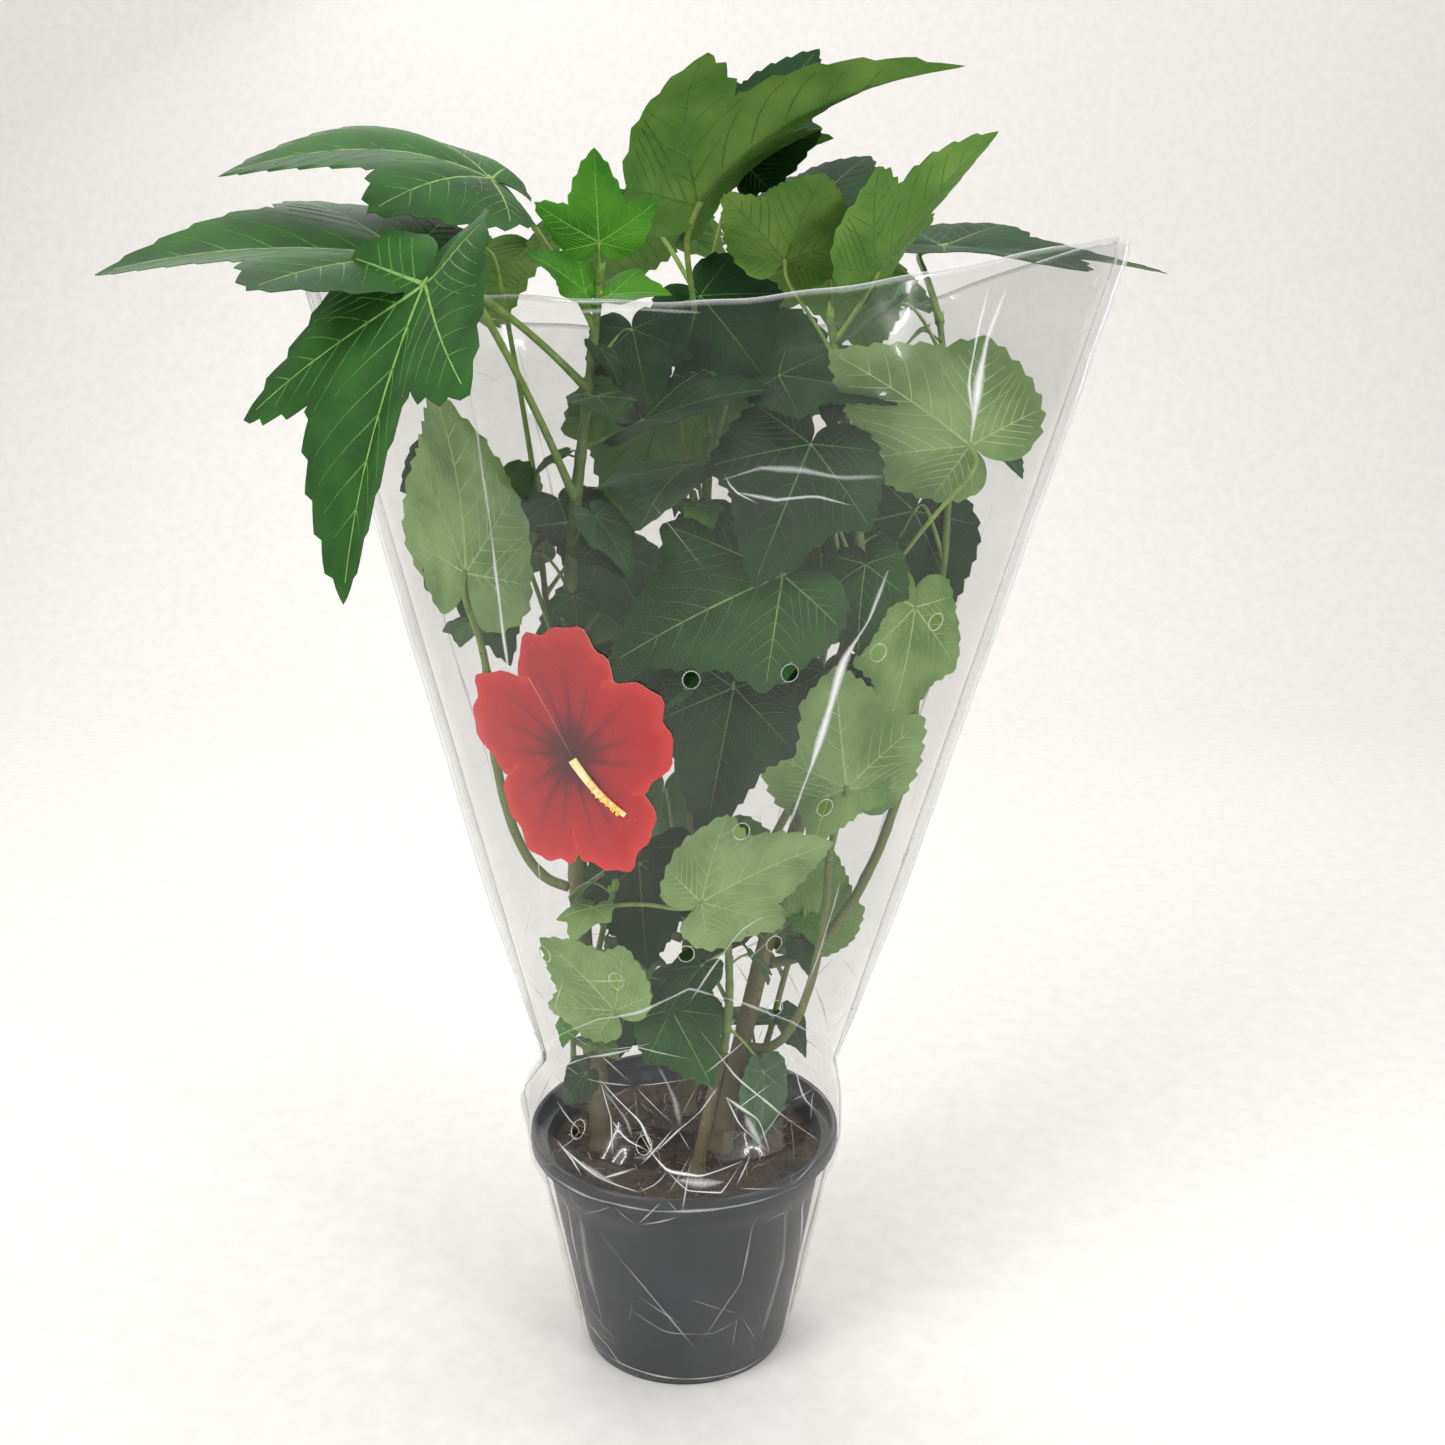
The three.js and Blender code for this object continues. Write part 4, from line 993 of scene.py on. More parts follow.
def add_tube(bag, points, radii, sides, number=0, relief=None):
    """A closed tube through points, with an even turn from ring to ring and a relief on its radius."""
    points = np.array(points, float)
    ahead = np.diff(points, axis=0)
    ahead /= np.linalg.norm(ahead, axis=1)[:, None]
    along = np.concatenate([ahead[:1], ahead[:-1] + ahead[1:], ahead[-1:]])
    along /= np.linalg.norm(along, axis=1)[:, None]
    turns = 2 * np.pi * np.arange(sides) / sides
    across = vec([0.31, -0.93, 0.18])
    rings = []
    for i, (point, way) in enumerate(zip(points, along)):
        across = unit(across - way * across.dot(way))
        third = np.cross(way, across)
        radius = np.full(sides, float(radii[i]))
        if relief is not None:
            radius = radius * relief(i, turns)
        circle = np.multiply.outer(np.cos(turns), across) + np.multiply.outer(np.sin(turns), third)
        rings.append(point + circle * radius[:, None])
    bag.add_rings(rings, [points[0], points[-1]], number)


def resample(points, radii, step):
    """The same line with points about a step apart, smoothed a little."""
    points, radii = np.array(points, float), np.array(radii, float)
    length = np.concatenate([[0], np.cumsum(np.linalg.norm(np.diff(points, axis=0), axis=1))])
    at = np.linspace(0, length[-1], max(3, int(length[-1] / step) + 1))
    fine = np.stack([np.interp(at, length, points[:, k]) for k in range(3)], -1)
    for _ in range(6):
        fine[1:-1] = (fine[:-2] + 2 * fine[1:-1] + fine[2:]) / 4
    return fine, np.interp(at, length, radii), at


# Teeth are a share of the blade's length. Rings of points run from the joint to the margin.
TOOTH = {"height": 0.026, "points": 4}
SHEET = 0.4
SOFT_FOLD = 0.04
# A blade's rings and columns of points grow with its length.
LARGE, MIDDLING = 55, 36
COLUMNS = {"large": 133, "middling": 93, "small": 53}
BLADE_RINGS = [0.1, 0.22, 0.36, 0.5, 0.63, 0.75, 0.86, 0.94, 1]
SMALL_RINGS = [0.2, 0.45, 0.7, 0.9, 1]
OUTLINE_POINTS = 1409
# Main veins in degrees from the middle lobe, on lobed and on heart-shaped blades.
LOBED_VEINS, HEART_VEINS = [0, 54, -54, 104, -104], [0, 38, -38, 84, -84]
VEIN = {"root": 0.0095, "tip": 0.0026, "side": 0.0042, "lift": 0.26, "reach": 0.94}
BASE_ANGLE, SIDE_LOBE, NOTCH = 176, 54, 35
# How far a blade ripples at its margin and curls down at its tips: the least, and what chance adds.
RIPPLE, CURL = (0.012, 0.014), (0.02, 0.05)
SIDE_VEIN = {
    "first": 0.15, "last": 0.84, "apart": 0.155, "reach": 0.55, "steps": 23, "lean": 46, "bend": 24,
    "furthest": 168, "points": 5,
}


class Blade:
    """A leaf's fine surface: a grid of points in its outline, and places on it for the veins."""

    def __init__(self, leaf, draw):
        self.leaf = leaf
        middling = leaf.length > MIDDLING
        columns = COLUMNS["large" if leaf.length > LARGE else "middling" if middling else "small"]
        self.rings = np.array(BLADE_RINGS if middling else SMALL_RINGS)
        fine = np.linspace(-BASE_ANGLE, BASE_ANGLE, OUTLINE_POINTS)
        reach = outline_reach(fine, leaf.lobing)
        x, y = reach * np.cos(np.radians(fine)), reach * np.sin(np.radians(fine))
        arc = np.concatenate([[0], np.cumsum(np.hypot(np.diff(x), np.diff(y)))])
        self.angles = np.interp(np.linspace(0, arc[-1], columns), arc, fine)
        self.angles[columns // 2] = 0
        for lobe in (-SIDE_LOBE, SIDE_LOBE):
            self.angles[np.argmin(np.abs(self.angles - lobe))] = lobe
        self.phase = draw() * PHASE
        self.ripple = RIPPLE[0] + RIPPLE[1] * draw()
        self.curl = CURL[0] + CURL[1] * draw()
        self.veins = LOBED_VEINS if leaf.lobing > 0.25 else HEART_VEINS
        self.grid = self.place_grid()

    def detail(self, angle, share, reach):
        """How far a point stands off the plain folded blade, as a share of the length."""
        order = np.sort(np.array([-BASE_ANGLE - 1, *self.veins, BASE_ANGLE + 1], float))
        low = np.clip(np.searchsorted(order, angle, side="right") - 1, 0, len(order) - 2)
        between_veins = (angle - order[low]) / (order[low + 1] - order[low])
        swell = np.sin(np.pi * between_veins) * reach * 0.045 * (1 - 0.55 * share)
        wave = self.ripple * share ** 2 * np.sin(np.radians(angle) * 5 + self.phase)
        return swell + wave - self.curl * np.clip(share - 0.55, 0, 1) ** 2

    def place_grid(self):
        leaf = self.leaf
        reach = outline_reach(self.angles, leaf.lobing)
        turn = np.radians(self.angles)
        rim = np.stack([reach * np.cos(turn), reach * np.sin(turn)], -1)
        way = np.gradient(rim, axis=0)
        way /= np.linalg.norm(way, axis=1)[:, None]
        outward = np.stack([way[:, 1], -way[:, 0]], -1)
        degrees = np.abs(self.angles)
        steps = np.arange(len(self.angles)) - len(self.angles) // 2
        towards_tip = np.where((degrees > NOTCH) & (degrees < SIDE_LOBE), -1, 1)
        phase = (np.abs(steps) * towards_tip) % TOOTH["points"]
        tooth = 1 - phase / (TOOTH["points"] - 1)
        calm = np.clip(degrees / 6, 0, 1) * np.clip((150 - degrees) / 30, 0, 1)
        toothed = rim + outward * (tooth * calm * TOOTH["height"])[:, None]
        rows = []
        for share in self.rings:
            flat = toothed if share == 1 else rim * share
            lift = self.detail(self.angles, np.full(len(self.angles), share), reach * share)
            rows.append(leaf.surface(flat[:, 0], flat[:, 1], lift, SOFT_FOLD))
        centre = np.repeat(leaf.surface(*np.zeros((3, 1)), SOFT_FOLD), len(self.angles), axis=0)
        return np.stack([centre, *rows])

    def on(self, x, y):
        """Points of the fine surface at shares of the length ahead of the joint and to the side."""
        angle = np.clip(np.degrees(np.arctan2(y, x)), -BASE_ANGLE, BASE_ANGLE)
        share = np.hypot(x, y) / outline_reach(angle, self.leaf.lobing)
        column = np.interp(angle, self.angles, np.arange(len(self.angles)))
        row = np.interp(share, np.concatenate([[0], self.rings]), np.arange(len(self.rings) + 1))
        i = np.minimum(row.astype(int), len(self.rings) - 1)
        j = np.minimum(column.astype(int), len(self.angles) - 2)
        u, v = (row - i)[..., None], (column - j)[..., None]
        g = self.grid
        low = g[i, j] * (1 - v) + g[i, j + 1] * v
        high = g[i + 1, j] * (1 - v) + g[i + 1, j + 1] * v
        return low * (1 - u) + high * u

    def add_sheets(self, bag, upper, under):
        rows, columns = self.grid.shape[:2]
        up = self.leaf.up * SHEET / 2
        ring_points = self.grid[1:].reshape(-1, 3)
        tops = np.concatenate([self.grid[0, :1] + up, ring_points + up])
        bottoms = np.concatenate([self.grid[0, :1] - up, ring_points - up])
        quads = grid_faces(rows - 1, columns) + 1
        first = np.arange(1, columns)
        fan = np.stack([np.zeros(columns - 1, int), first, first + 1], -1)
        shift = len(tops)
        rim = 1 + (rows - 2) * columns + np.arange(columns)
        left = np.array([1 + k * columns for k in range(rows - 1)])
        right = left + columns - 1
        border = np.concatenate([rim, right[::-1][1:], left[:1], left[1:]])
        edge = np.stack([border[:-1], border[:-1] + shift, border[1:] + shift, border[1:]], -1)
        bag.add(
            np.concatenate([tops, bottoms]), (quads[:, ::-1], upper), (fan[:, ::-1], upper),
            (quads + shift, under), (fan + shift, under), (edge, upper),
        )

    def add_vein(self, bag, x, y, widths, side, number):
        """A ribbon that stands a little off one side of the blade and narrows to its tip."""
        way = np.stack([np.gradient(x), np.gradient(y)], -1)
        way /= np.linalg.norm(way, axis=1)[:, None] + 1e-9
        offset = np.stack([-way[:, 1], way[:, 0]], -1) * widths[:, None]
        lift = self.leaf.up * side
        middle = self.on(x, y) + lift * (SHEET / 2 + VEIN["lift"])
        left = self.on(x + offset[:, 0], y + offset[:, 1]) + lift * SHEET * 0.4
        right = self.on(x - offset[:, 0], y - offset[:, 1]) + lift * SHEET * 0.4
        rows = np.stack([left, middle, right], 1).reshape(-1, 3)
        faces = grid_faces(len(x), 3)
        bag.add(rows, (faces if side < 0 else faces[:, ::-1], number))

    def add_veins(self, bag, upper, side_upper, under):
        leaf = self.leaf
        large = leaf.length > MIDDLING
        for vein in self.veins:
            end = outline_reach(vein, leaf.lobing) * VEIN["reach"]
            along = np.linspace(0.02, end, 12 if large else 6)
            turn = math.radians(vein)
            width = np.linspace(VEIN["root"], VEIN["tip"], len(along)) * (1 if vein == 0 else 0.75)
            for side, number in ((1, upper), (-1, under)):
                self.add_vein(bag, along * math.cos(turn), along * math.sin(turn), width, side, number)
            if not large:
                continue
            gap = 27 if abs(vein) < 90 else 34
            starts = np.arange(SIDE_VEIN["first"], SIDE_VEIN["last"], SIDE_VEIN["apart"]) * end
            for start in starts:
                for hand in (-1, 1):
                    self.add_side_vein(bag, turn, start, hand, gap, side_upper, under)

    def add_side_vein(self, bag, turn, start, hand, gap, upper, under):
        """A side vein leaves its main vein forwards, and stops at the margin or half way to the next."""
        reach = SIDE_VEIN["reach"]
        steps = np.linspace(0, reach, SIDE_VEIN["steps"])
        lean = turn + hand * np.radians(SIDE_VEIN["lean"] - SIDE_VEIN["bend"] * steps / reach)
        x = start * math.cos(turn) + np.concatenate([[0], np.cumsum(np.cos(lean[1:]) * steps[1])])
        y = start * math.sin(turn) + np.concatenate([[0], np.cumsum(np.sin(lean[1:]) * steps[1])])
        angle = np.degrees(np.arctan2(y, x))
        apart = np.abs((angle - math.degrees(turn) + 180) % 360 - 180)
        share = np.hypot(x, y) / outline_reach(angle, self.leaf.lobing)
        outside = (share > VEIN["reach"]) | (apart > gap) | (np.abs(angle) > SIDE_VEIN["furthest"])
        last = int(np.argmax(outside)) if outside.any() else len(x)
        if last < 4:
            return
        pick = np.linspace(0, last - 1, SIDE_VEIN["points"]).astype(int)
        width = np.linspace(VEIN["side"], VEIN["tip"] * 0.5, len(pick))
        for side, number in ((1, upper), (-1, under)):
            self.add_vein(bag, x[pick], y[pick], width, side, number)


def add_bud(bag, centre, way, length, width, number=0):
    """A small pointed bud of a few dozen faces."""
    stations = np.array([0, 0.15, 0.4, 0.7, 0.9, 1.0])
    girth = np.array([0.35, 0.8, 1.0, 0.72, 0.35, 0.05])
    points = centre + np.multiply.outer(stations * length, way)
    add_tube(bag, points, girth * width, 7, number)


def dress_mass(shoot, leaves, draw):
    """The twigs, stalks and leaves that stand for one mass."""
    blades, twigs = Bag(), Bag()
    points, radii, at = resample(shoot.points, shoot.radii, 4)
    add_tube(twigs, points, radii * (1 + 0.1 * np.cos(at / 4.2) ** 8), 10)
    for leaf in leaves:
        upper, under, vein, side_vein, low_vein = (LEAF_SLOTS.index(n) for n in LEAF_LOOKS[leaf.finish])
        blade = Blade(leaf, draw)
        blade.add_sheets(blades, upper, under)
        blade.add_veins(blades, vein, side_vein, low_vein)
        line = np.array([*leaf.stalk_line(10), leaf.joint + leaf.forward * leaf.length * 0.02])
        thick = 0.011 * leaf.length + 0.45
        line, _, at = resample(line, np.ones(len(line)), 5 if leaf.length > MIDDLING else 3)
        share = at / at[-1]
        swell = 1 + 0.45 * np.exp(-share * 14) + 0.3 * np.exp(-(1 - share) * 16)
        add_tube(twigs, line, thick * swell * (1 - 0.15 * share), 8, 1)
        way = unit(line[2] - line[0])
        bud_way = unit(way + [0, 0, 1.2])
        add_bud(twigs, leaf.root + bud_way * 1.6, bud_way, 3 + 2.5 * draw(), 1.1 + 0.5 * draw(), 2)
    top = shoot.points[-1]
    rise = unit(shoot.points[-1] - shoot.points[-2])
    for k in range(5):
        turn = heading(TURN * k, 50 + 8 * k)
        way = unit(rise + turn * 0.55)
        add_bud(twigs, top - rise * 1.5, way, 6 + 5 * draw(), 1.3 + 0.7 * draw(), 2)
    return blades, twigs


WOOD_LOOKS = {
    "stem": wood_finish("stem_bark", rgb(104, 88, 62), rgb(104, 118, 66), 120, 470),
    "bough": wood_finish("bough_bark", rgb(104, 106, 62), rgb(108, 134, 68), 150, 430),
}
TWIG_FINISHES = [
    plain_leaf_finish("twig_green", rgb(98, 124, 58), rgb(122, 148, 76), 0.45),
    plain_leaf_finish("stalk_green", rgb(118, 146, 66), rgb(146, 170, 88), 0.42),
    plain_leaf_finish("bud_green", rgb(104, 150, 52), rgb(150, 184, 84), 0.42),
]


def add_wood(name, limb, kind):
    """A limb with bark relief: ridges along it, and swollen rings with scars where leaves once were."""
    draw = seeded_numbers(sum(map(ord, name)))
    points, radii, at = resample(limb.points, limb.radii, 2.5)
    phases = [draw() * PHASE for _ in range(4)]
    node_gap = 31 + 8 * draw()

    def relief(i, turns):
        place = at[i]
        ring = math.exp(-((place % node_gap - node_gap / 2) / 3.2) ** 2)
        scar = 0.5 + 0.5 * np.cos(turns - 2.4 * (place // node_gap))
        ridges = np.sin(5 * turns + phases[0] + place / 38) + 0.6 * np.sin(9 * turns + phases[1] - place / 21)
        rough = np.sin(13 * turns + phases[2] + place / 3.1) * np.sin(place / 2.3 + phases[3])
        return 1 + 0.1 * ring * (0.4 + scar) + 0.022 * ridges + 0.014 * rough

    bag = Bag()
    add_tube(bag, points, radii, 24, 0, relief)
    thing = bag.piece(name + "_bark", [WOOD_LOOKS[kind]])
    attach(thing, "root")
    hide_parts(name)


def lathe(bag, profile, sides, number=0):
    """A closed turned shape from its profile, which runs from the axis round to the axis."""
    turns = 2 * np.pi * np.arange(sides) / sides
    across = np.cos(turns), np.sin(turns)
    rings = [np.stack([r * across[0], r * across[1], np.full(sides, z)], -1) for r, z in profile[1:-1]]
    bag.add_rings(rings, [[0, 0, profile[0][1]], [0, 0, profile[-1][1]]], number)


def make_pot():
    rim, shoulder, foot, height = POT["rim_radius"], POT["shoulder_radius"], POT["foot_radius"], POT["height"]
    step = height - POT["rim_height"]
    inner = rim - POT["rim_wall"]
    profile = [
        (0, 0), (foot - 6, 0), (foot - 1.2, 0.0), (foot - 0.2, 0.5), (foot + 0.2, 1.8), (foot + 0.7, 4),
        (foot + 12, 67), (shoulder - 1, step - 5), (shoulder - 0.2, step - 0.9), (shoulder + 0.7, step + 0.1),
        (rim - 1.2, step + 0.5), (rim - 0.3, step + 0.9), (rim, step + 2), (rim, height - 2.2),
        (rim - 0.3, height - 0.7), (rim - 1, height), (inner + 1, height), (inner + 0.2, height - 0.4),
        (inner, height - 1.2), (inner - 0.2, step + 3.6), (inner - 0.8, step + 2.7),
        (shoulder - POT["wall"] + 0.6, step + 2.4), (shoulder - POT["wall"], step + 1.4),
        (foot - POT["wall"], POT["floor"]), (0, POT["floor"]),
    ]
    bag = Bag()
    lathe(bag, profile, 128)
    pot = bag.piece("pot_moulding", [pot_finish()], 35)
    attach(pot, "root")
    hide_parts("pot")


def waves(seed, count, shortest, longest):
    """A smooth random field on a plane, from -1 to 1 or a little more."""
    draw = seeded_numbers(seed)
    parts = []
    for _ in range(count):
        size = shortest * (longest / shortest) ** draw()
        turn = draw() * 2 * math.pi
        along, across = 2 * math.pi * math.cos(turn) / size, 2 * math.pi * math.sin(turn) / size
        parts.append((along, across, draw() * PHASE))

    def field(u, v):
        total = sum(np.sin(a * u + b * v + c) for a, b, c in parts)
        return total / math.sqrt(count)

    return field


SOIL = {"sides": 144, "rings": 44, "skirt": 14, "crumbs": 620, "fibres": 70, "seed": 77}
# Waves are a seed, a number of waves, and the shortest and the longest of them.
SOIL_WAVES = {"rough": (31, 18, 9, 34), "fine": (32, 18, 3, 8)}
FILM_WAVES = {"soft": (11, 22, 60, 190), "fine": (12, 22, 14, 44)}


def make_soil():
    """Crumbly potting soil: a rough top, loose crumbs and pale fibres that lie on it."""
    wall_height = POT["height"] - POT["rim_height"] + POT["ledge"] - POT["floor"]
    slope = (POT["shoulder_radius"] - POT["foot_radius"]) / wall_height
    radius = POT["foot_radius"] - POT["wall"] + slope * (SOIL_TOP - POT["floor"]) - CLEAR
    rough, fine = waves(*SOIL_WAVES["rough"]), waves(*SOIL_WAVES["fine"])

    def top(x, y):
        edge = np.clip((radius - np.hypot(x, y)) / 9, 0, 1)
        return SOIL_TOP + (1.5 * rough(x, y) + 0.8 * fine(x, y)) * (0.4 + 0.6 * edge) - 2.4 * (1 - edge)

    turns = 2 * np.pi * np.arange(SOIL["sides"]) / SOIL["sides"]
    rings = []
    for share in np.linspace(0.02, 1, SOIL["rings"]):
        x, y = radius * share * np.cos(turns), radius * share * np.sin(turns)
        rings.append(np.stack([x, y, top(x, y)], -1))
    underside = SOIL_TOP - SOIL["skirt"]
    skirt = rings[-1].copy()
    skirt[:, 2] = underside
    bag = Bag()
    bag.add_rings([skirt, *rings[::-1]], [[0, 0, underside], [0, 0, float(top(0, 0))]])
    draw = seeded_numbers(SOIL["seed"])
    for _ in range(SOIL["crumbs"]):
        turn, share = draw() * 2 * math.pi, math.sqrt(draw()) * 0.95
        x, y = radius * share * math.cos(turn), radius * share * math.sin(turn)
        size = 0.8 + 2.3 * draw() ** 3
        way = heading(draw() * 360, draw() * 60)
        add_bud(bag, vec([x, y, float(top(x, y)) + size * 0.1]) - way * size, way, size * 2.1, size, 0)
    for _ in range(SOIL["fibres"]):
        turn, share = draw() * 2 * math.pi, math.sqrt(draw()) * 0.85
        x, y = radius * share * math.cos(turn), radius * share * math.sin(turn)
        bearing, bend, length = draw() * 360, (draw() - 0.5) * 90, 6 + 15 * draw()
        line = []
        for t in np.linspace(0, 1, 7):
            reach = math.hypot(x, y)
            z = float(top(x, y)) + 0.5 + 1.6 * math.sin(math.pi * t) * draw()
            held = min(1, (radius - 2) / reach)
            line.append([x * held, y * held, z])
            way = heading(bearing + bend * t, 0)
            x, y = x + way[0] * length / 6, y + way[1] * length / 6
        thick = 0.16 + 0.2 * draw()
        add_tube(bag, line, [thick * g for g in (0.5, 0.9, 1, 1, 0.9, 0.7, 0.4)], 5, 1)
    fibre = paper_finish("root_fibre", rgb(150, 122, 88), rgb(196, 170, 130), 0.7)
    soil = bag.piece("soil_crumbs", [soil_finish(), fibre])
    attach(soil, "root")
    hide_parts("soil")


# The film is crumpled into flat facets: rows of corner points round it, at each height with their
# number, and the least and most that they stand off the sleeve's plain shape.
CRUMPLE = [
    (4, 16, 0, 0.2), (24, 15, 0.1, 2.4), (50, 14, 0.1, 2.6), (78, 14, 0.1, 2.6), (104, 15, 0.1, 2.2),
    (124, 16, 0, 0.6), (139, 18, 0, 0.3), (152, 18, -0.6, 3.0), (170, 17, -1.2, 3.6), (190, 17, -1.4, 3.6),
    (212, 16, -1.2, 3.2), (238, 15, -0.9, 2.6), (272, 13, -0.8, 2.2), (320, 12, -0.7, 1.9),
    (378, 11, -0.7, 1.7), (440, 11, -0.6, 1.6), (505, 10, -0.6, 1.5), (570, 10, -0.5, 1.5),
    (628, 10, -0.4, 1.2), (680, 9, -0.3, 1.0),
]
CRUMPLE_SEED = 41
ARC = 1.9
# Outer points that hold the net: bearings, heights, and the bearings between at top and bottom.
NET_FRAME = {"bearings": (-120, 480), "heights": (-30, 720), "between": range(-100, 470, 30)}

# Painted highlights along the long folds: each point's bearing and height, the half width and the strength.
# Those in front, at bearings over 180, were picked by eye on the photograph. A scratch helper carried the
# points through the camera onto the film. Those in tenths stand as it gave them or nearly so, and some of
# the others were rounded or moved by hand.
GLINTS = [
    (
        [(223, 628), (225.3, 580), (225.3, 530), (224.3, 489), (223.8, 440), (223.7, 400), (224.6, 300)],
        1.5, 0.75,
    ),
    ([(226.4, 604), (231.4, 600)], 1.2, 0.7),
    ([(192, 478), (191.5, 420), (196.4, 370), (201.3, 305), (205.5, 253), (206, 214)], 0.9, 0.4),
    ([(332.5, 643), (330.9, 619), (331, 594), (331.7, 569)], 2.4, 0.85),
    ([(329.6, 645), (329.2, 624), (329.1, 597), (331.7, 577)], 1.3, 0.75),
    ([(320.4, 504), (317.6, 478), (312.7, 458), (310.9, 436), (307.8, 404), (302.3, 365)], 3.4, 0.85),
    ([(349.1, 638), (355, 574), (354.6, 480), (353.4, 382), (352.7, 321), (349.8, 260)], 1.3, 0.65),
    ([(352.1, 419), (351.1, 360), (349.6, 298), (344, 230)], 1.0, 0.5),
    ([(281.4, 553), (290.1, 558.7), (299.1, 557.3), (307.7, 552.8), (315.9, 553)], 3.4, 0.35),
    ([(284.5, 547), (293.9, 542.7), (302.8, 544.2), (310.4, 539)], 1.6, 0.5),
    ([(281.8, 556), (283.2, 548), (290, 541)], 1.0, 0.5),
    ([(237.4, 634.4), (245.8, 632), (263.1, 633.6), (276, 632)], 2.2, 0.3),
    ([(273.7, 267), (280.3, 285), (289.9, 308), (298.7, 317)], 1.4, 0.45),
    ([(312.9, 258), (316.7, 281), (319.9, 314), (320.5, 329)], 1.4, 0.4),
    (
        [
            (204.3, 209), (222, 232), (241, 251), (256.3, 259), (273.7, 275), (291, 264), (310, 246),
            (335, 211),
        ],
        1.6, 0.35,
    ),
    ([(238.4, 210), (254.3, 189), (260.8, 174)], 1.5, 0.95),
    ([(238.4, 210), (242.2, 186), (246, 170)], 1.3, 0.9),
    ([(242.2, 186), (250, 178), (260.8, 174)], 1.0, 0.7),
    ([(260.8, 174), (277.4, 197), (284, 212)], 1.4, 0.7),
    ([(222.7, 166.6), (241.2, 155), (256, 151)], 1.5, 0.95),
    ([(222.7, 166.6), (230, 160), (234, 152)], 1.8, 0.8),
    ([(254.5, 183), (265.7, 165), (276.7, 161), (291.7, 166.5)], 1.4, 0.95),
    ([(256, 151), (263, 158), (265.7, 165)], 1.2, 0.9),
    ([(265.7, 165), (272, 153), (284, 150), (291.7, 166.5)], 1.1, 0.8),
    ([(286.7, 205), (301.2, 184.5), (302.1, 168)], 1.8, 0.9),
    ([(286.7, 205), (292, 186), (302.1, 168)], 1.1, 0.8),
    ([(192, 184), (235, 224), (255.7, 237), (277.2, 229)], 1.3, 0.5),
    ([(277.2, 248), (290.2, 217), (313.9, 179), (324.8, 161)], 1.3, 0.6),
    ([(306.7, 235), (319.4, 195), (334.6, 160)], 1.2, 0.5),
    ([(213.6, 183), (232, 176), (222.8, 160)], 1.0, 0.5),
    ([(262, 226), (268, 205), (270, 188)], 5.5, 0.22),
    ([(240, 204), (247, 192), (252, 180)], 4.5, 0.3),
    ([(228, 162), (240, 157), (250, 152)], 4.0, 0.35),
    ([(268, 160), (276, 157), (285, 156)], 4.0, 0.35),
    ([(294, 192), (297, 182), (300, 172)], 4.5, 0.35),
    ([(200, 139.5), (225, 140), (255, 140), (285, 140), (320, 139.5)], 1.6, 0.3),
    ([(210, 126), (205, 75), (201, 25)], 2.2, 0.55),
    ([(222, 133), (219, 93), (220, 48)], 2.2, 0.4),
    ([(228, 120), (226, 80), (229, 40)], 8.0, 0.14),
    ([(320.3, 131), (330, 65), (332, 24)], 2.6, 0.4),
    ([(312, 124), (316, 80), (312, 30)], 7.0, 0.12),
    ([(236.7, 112), (256, 75), (278, 29)], 1.2, 0.25),
    ([(298, 133), (295, 79), (278, 37)], 1.3, 0.25),
    ([(244, 60), (262, 46), (284, 44), (300, 52)], 1.0, 0.2),
    ([(210, 30), (228, 20), (236, 8)], 1.6, 0.45),
    ([(204, 9.4), (234, 10.5), (268, 8), (301, 6.5), (326, 8.5)], 1.2, 0.45),
    ([(40, 620), (47, 500), (52, 380), (58, 260)], 1.4, 0.5),
    ([(88, 600), (92, 470), (97, 340)], 1.8, 0.45),
    ([(134, 610), (128, 500), (124, 380), (121, 250)], 1.4, 0.5),
    ([(168, 560), (165, 420), (160, 300)], 1.2, 0.45),
    ([(12, 520), (15, 400), (19, 280)], 1.2, 0.45),
]
# Painted highlights along the edges between facets: the least and the full turn between two facets,
# how bright they are in the crumpled waist and above it, how many are drawn, and where they stay.
EDGE_GLINTS = {
    "least_turn": 0.02, "full_turn": 0.12, "waist": (146, 260), "in_waist": 0.8, "elsewhere": 0.42,
    "weakest": 0.08, "share": 0.6, "seed": 5, "low": 8, "high": 612, "from_seam": 84, "shortest": 9,
}
FILM = {"sheet": 0.22, "columns": 210, "rows": 200, "edge": 1.6, "clear": 0.095, "highlight_strength": 0.4}
# A seam's lines run at these distances out from the sheets, and the welded ones stand proud.
SEAM = {"lines": [-0.4, 1.4, 2.0, 4.6, 5.2, 7.5], "welded": (1, 2, 3, 4), "bright": (1, 4, 5), "half": 0.16}
# Air holes: bearing and height. The first three lines were picked and carried over in the same way,
# and the last line, at the back, is guessed.
HOLES = [
    (248.6, 452), (274.1, 451), (299.8, 453), (333.5, 473), (320.9, 460), (312.5, 375.5), (289, 366.3),
    (349, 327), (301.1, 297.6), (272.4, 295.7), (219.8, 282), (248.6, 276.7), (303.7, 256.4),
    (229.5, 176.2), (256.9, 177),
    (30, 452), (58, 455), (86, 450), (118, 453), (146, 448), (44, 298), (75, 292), (104, 296), (135, 290),
]
HOLE = {"radius": 4.4, "lip": 0.24, "corners": 32}


